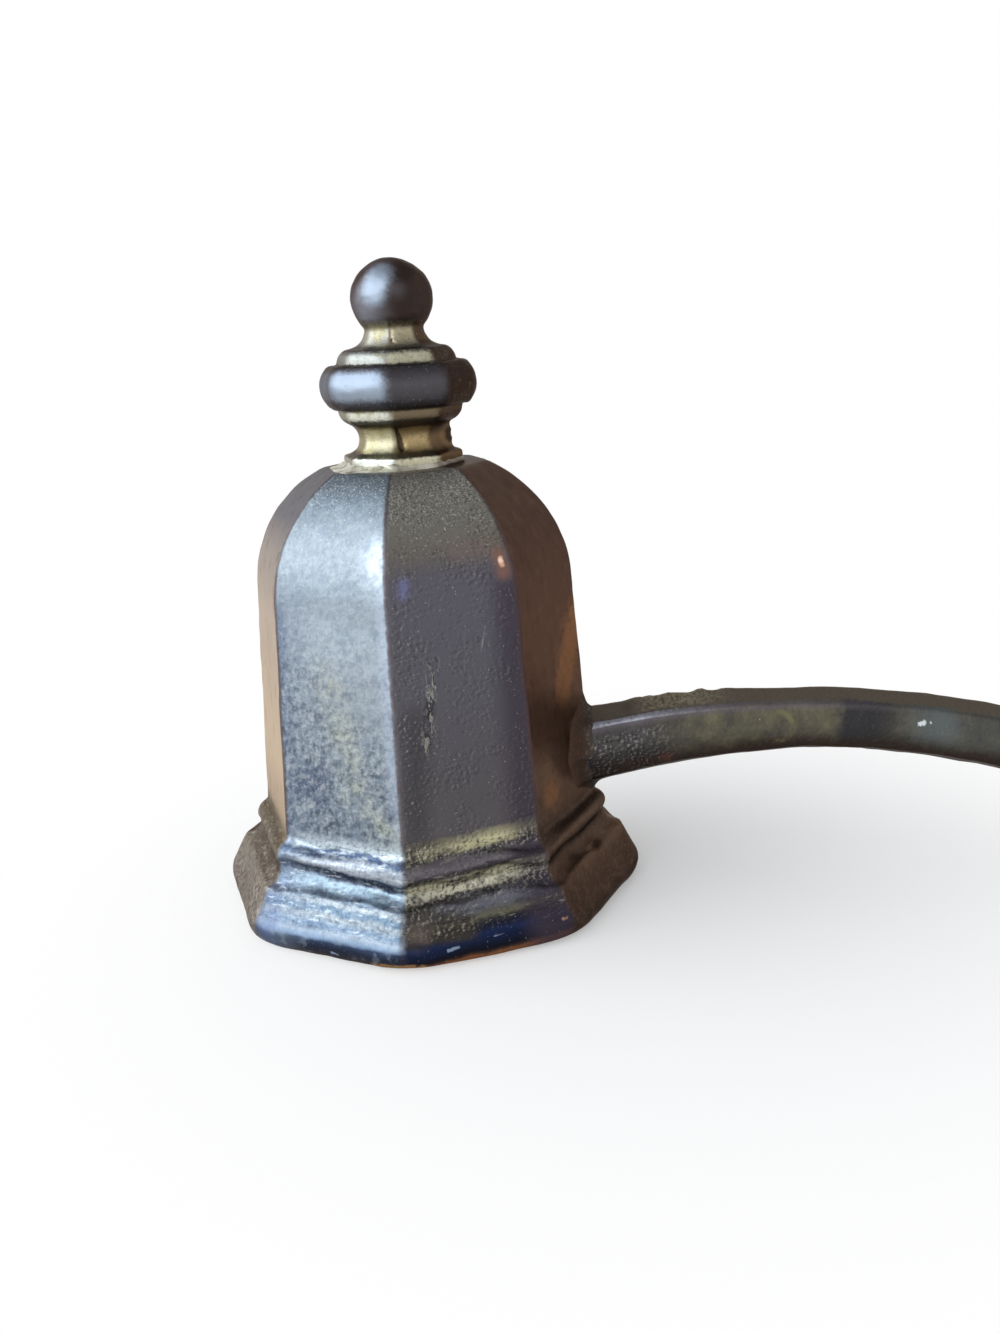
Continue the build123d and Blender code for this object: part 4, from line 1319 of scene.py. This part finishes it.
def braze_finish():
    """Rough brown braze turning slate towards the arm, stippled with painted shade and painted highlights on
    its lumps, the highlights mostly towards the arm.
    """
    material, shader, place = new_finish("braze_metal")
    x = axes(place)[0]
    mottle = clouds(place, 1.0, 4.0)
    fray = clouds(place, 0.4, 3.0, 0.6) - 0.5
    lit = sides_lit(place, 0.4, TO_WINDOW)
    outer = between(x + fray, 13.8, 15.4)
    colour = coat(WALL_BROWN, BRAZE_BROWN, between(trait(place, "run") + fray * 0.6, 0.0, 0.5))
    colour = coats(colour, [
        (ARM_SLATE, outer),
        # painted shade and painted highlights on the flanks of the lumps
        (UMBER, between(lit, -0.02, -0.10) * 0.5),
        (FLASH_TAN_AND_HIGHLIGHT, between(lit, 0.04, 0.12) * (0.02 + 0.4 * outer)),
    ])
    feed(shader, {
        "Base Color": colour,
        "Metallic": 0.8,
        "Roughness": 0.42 + 0.2 * mottle,
        "Specular Tint": DARK_EDGE,
        "Normal": bump(place, clouds(place, 0.4, 2.0, 0.5) + clouds(place, 0.9) * 0.3, 0.03),
    })
    return material


braze_fillet.data.materials.append(braze_finish())
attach(braze_fillet, "root")
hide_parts("handle_braze")


# Floor and backdrop. A plain pale dish, flat under the snuffer and turned up all round far off, so that
# no edge or horizon shows behind it.
dish_share = np.linspace(0, 1, 60)[1:]
dish_rise = np.clip((dish_share - 0.4) / 0.6, 0, 1)
dish_turned_up = 0.55 + 0.45 * np.sin(dish_rise * np.pi / 2)
dish_radius = 1.5 * np.where(dish_share < 0.4, dish_share / 0.4 * 0.55, dish_turned_up)
dish_height = 1.3 * (1 - np.cos(dish_rise * np.pi / 2))
turn = np.arange(96) / 96 * 2 * np.pi
dish_points = np.stack([
    np.outer(dish_radius, np.cos(turn)),
    np.outer(dish_radius, np.sin(turn)),
    np.outer(dish_height - 0.0002, np.ones(96)),
], -1).reshape(-1, 3)
dish_index = np.arange(len(dish_points)).reshape(-1, 96)
dish_quads = np.stack([
    dish_index[:-1],
    dish_index[1:],
    np.roll(dish_index[1:], -1, 1),
    np.roll(dish_index[:-1], -1, 1),
], -1).reshape(-1, 4)
dish_mesh = bpy.data.meshes.new("floor_dish")
dish_mesh.from_pydata(dish_points.tolist(), [], dish_quads.tolist() + [dish_index[0].tolist()])
dish_mesh.polygons.foreach_set("use_smooth", np.ones(len(dish_mesh.polygons), bool))
floor_dish = bpy.data.objects.new("floor_dish", dish_mesh)
bpy.context.scene.collection.objects.link(floor_dish)
WHITE_LEAST, WHITE_FROM, WHITE_TO = 0.3, 4.0, 62.0
dish_material, dish_shader, dish_place = new_finish("pale_floor")
feed(dish_shader, {"Base Color": (0.9, 0.9, 0.9, 1), "Roughness": 0.95, "Specular IOR Level": 0.0})
off = dish_place.node("ShaderNodeVectorMath", {"operation": "DISTANCE"}, {0: dish_place, 1: (20, 0, 0)}, 1)
seen = [dish_place.node("ShaderNodeLightPath", {}, {}, way) for way in (
    "Is Camera Ray", "Is Glossy Ray", "Is Transmission Ray")]
whitened = WHITE_LEAST + (1 - WHITE_LEAST) * between(off, WHITE_FROM, WHITE_TO)
whitened = whitened * (seen[0] + seen[1] + seen[2])
white = dish_place.node("ShaderNodeEmission", {}, {"Color": (1, 1, 1, 1), "Strength": 1.0})
lit = Wire(dish_shader.outputs[0])
blend = lit.node("ShaderNodeMixShader", {}, {0: whitened, 1: lit, 2: white})
dish_material.node_tree.links.new(blend.socket, dish_material.node_tree.nodes["Material Output"].inputs[0])
floor_dish.data.materials.append(dish_material)


# Light. One wide soft lamp low on the left, where a window would stand, and an even grey surround that
# fills the other sides.
def soft_lamp(name, bearing, climb, distance, width, tall, power, colour):
    """A rectangular lamp at a bearing and climb in degrees, turned to face the bell's middle."""
    lamp = bpy.data.lights.new(name, "AREA")
    lamp.shape = "RECTANGLE"
    lamp.size = width
    lamp.size_y = tall
    lamp.energy = power
    lamp.color = colour
    holder = bpy.data.objects.new(name, lamp)
    bpy.context.scene.collection.objects.link(holder)
    around, above = np.radians([bearing, climb])
    way = np.array([np.cos(around) * np.cos(above), np.sin(around) * np.cos(above), np.sin(above)])
    side = np.array([-np.sin(around), np.cos(around), 0])
    columns = np.stack([side, np.cross(way, side), way, way * distance + [0, 0, 0.02]], 1)
    holder.matrix_world = Matrix([*columns.tolist(), [0, 0, 0, 1]])
    holder.visible_camera = False


soft_lamp("window_lamp", -155, 32, 0.6, 1.2, 0.62, 4.8, (0.9, 0.96, 1.0))
world = bpy.data.worlds.new("surround")
world.use_nodes = True
world.node_tree.nodes["Background"].inputs["Color"].default_value = (0.97, 0.98, 1.0, 1)
world.node_tree.nodes["Background"].inputs["Strength"].default_value = 0.58
bpy.context.scene.world = world
bpy.context.scene.view_settings.view_transform = "Standard"


# Camera. The photograph's viewpoint: close, in front and a little above, tipped by three degrees.
VIEW_BEARING, VIEW_CLIMB, VIEW_ROLL = np.radians([5.329, 15.731, -3.301])
VIEW_DISTANCE, VIEW_RIGHT, VIEW_UP = 116.765, 5.983, 18.745
LENS_PIXELS, PHOTO_TALL, SENSOR = 1273.1, 1333.0, 36.0
view_back = np.array([
    np.sin(VIEW_BEARING) * np.cos(VIEW_CLIMB),
    -np.cos(VIEW_BEARING) * np.cos(VIEW_CLIMB),
    np.sin(VIEW_CLIMB),
])
level_right = np.array([np.cos(VIEW_BEARING), np.sin(VIEW_BEARING), 0])
level_up = np.cross(view_back, level_right)
view_right = np.cos(VIEW_ROLL) * level_right + np.sin(VIEW_ROLL) * level_up
view_up = np.cos(VIEW_ROLL) * level_up - np.sin(VIEW_ROLL) * level_right
view_place = (view_back * VIEW_DISTANCE + view_right * VIEW_RIGHT + view_up * VIEW_UP) * MM
camera_data = bpy.data.cameras.new("camera")
camera_data.sensor_width = SENSOR
camera_data.lens = SENSOR * LENS_PIXELS / PHOTO_TALL
camera_data.clip_start = 0.005
camera = bpy.data.objects.new("camera", camera_data)
bpy.context.scene.collection.objects.link(camera)
camera_columns = np.stack([view_right, view_up, view_back, view_place], 1)
camera.matrix_world = Matrix([*camera_columns.tolist(), [0, 0, 0, 1]])
bpy.context.scene.camera = camera
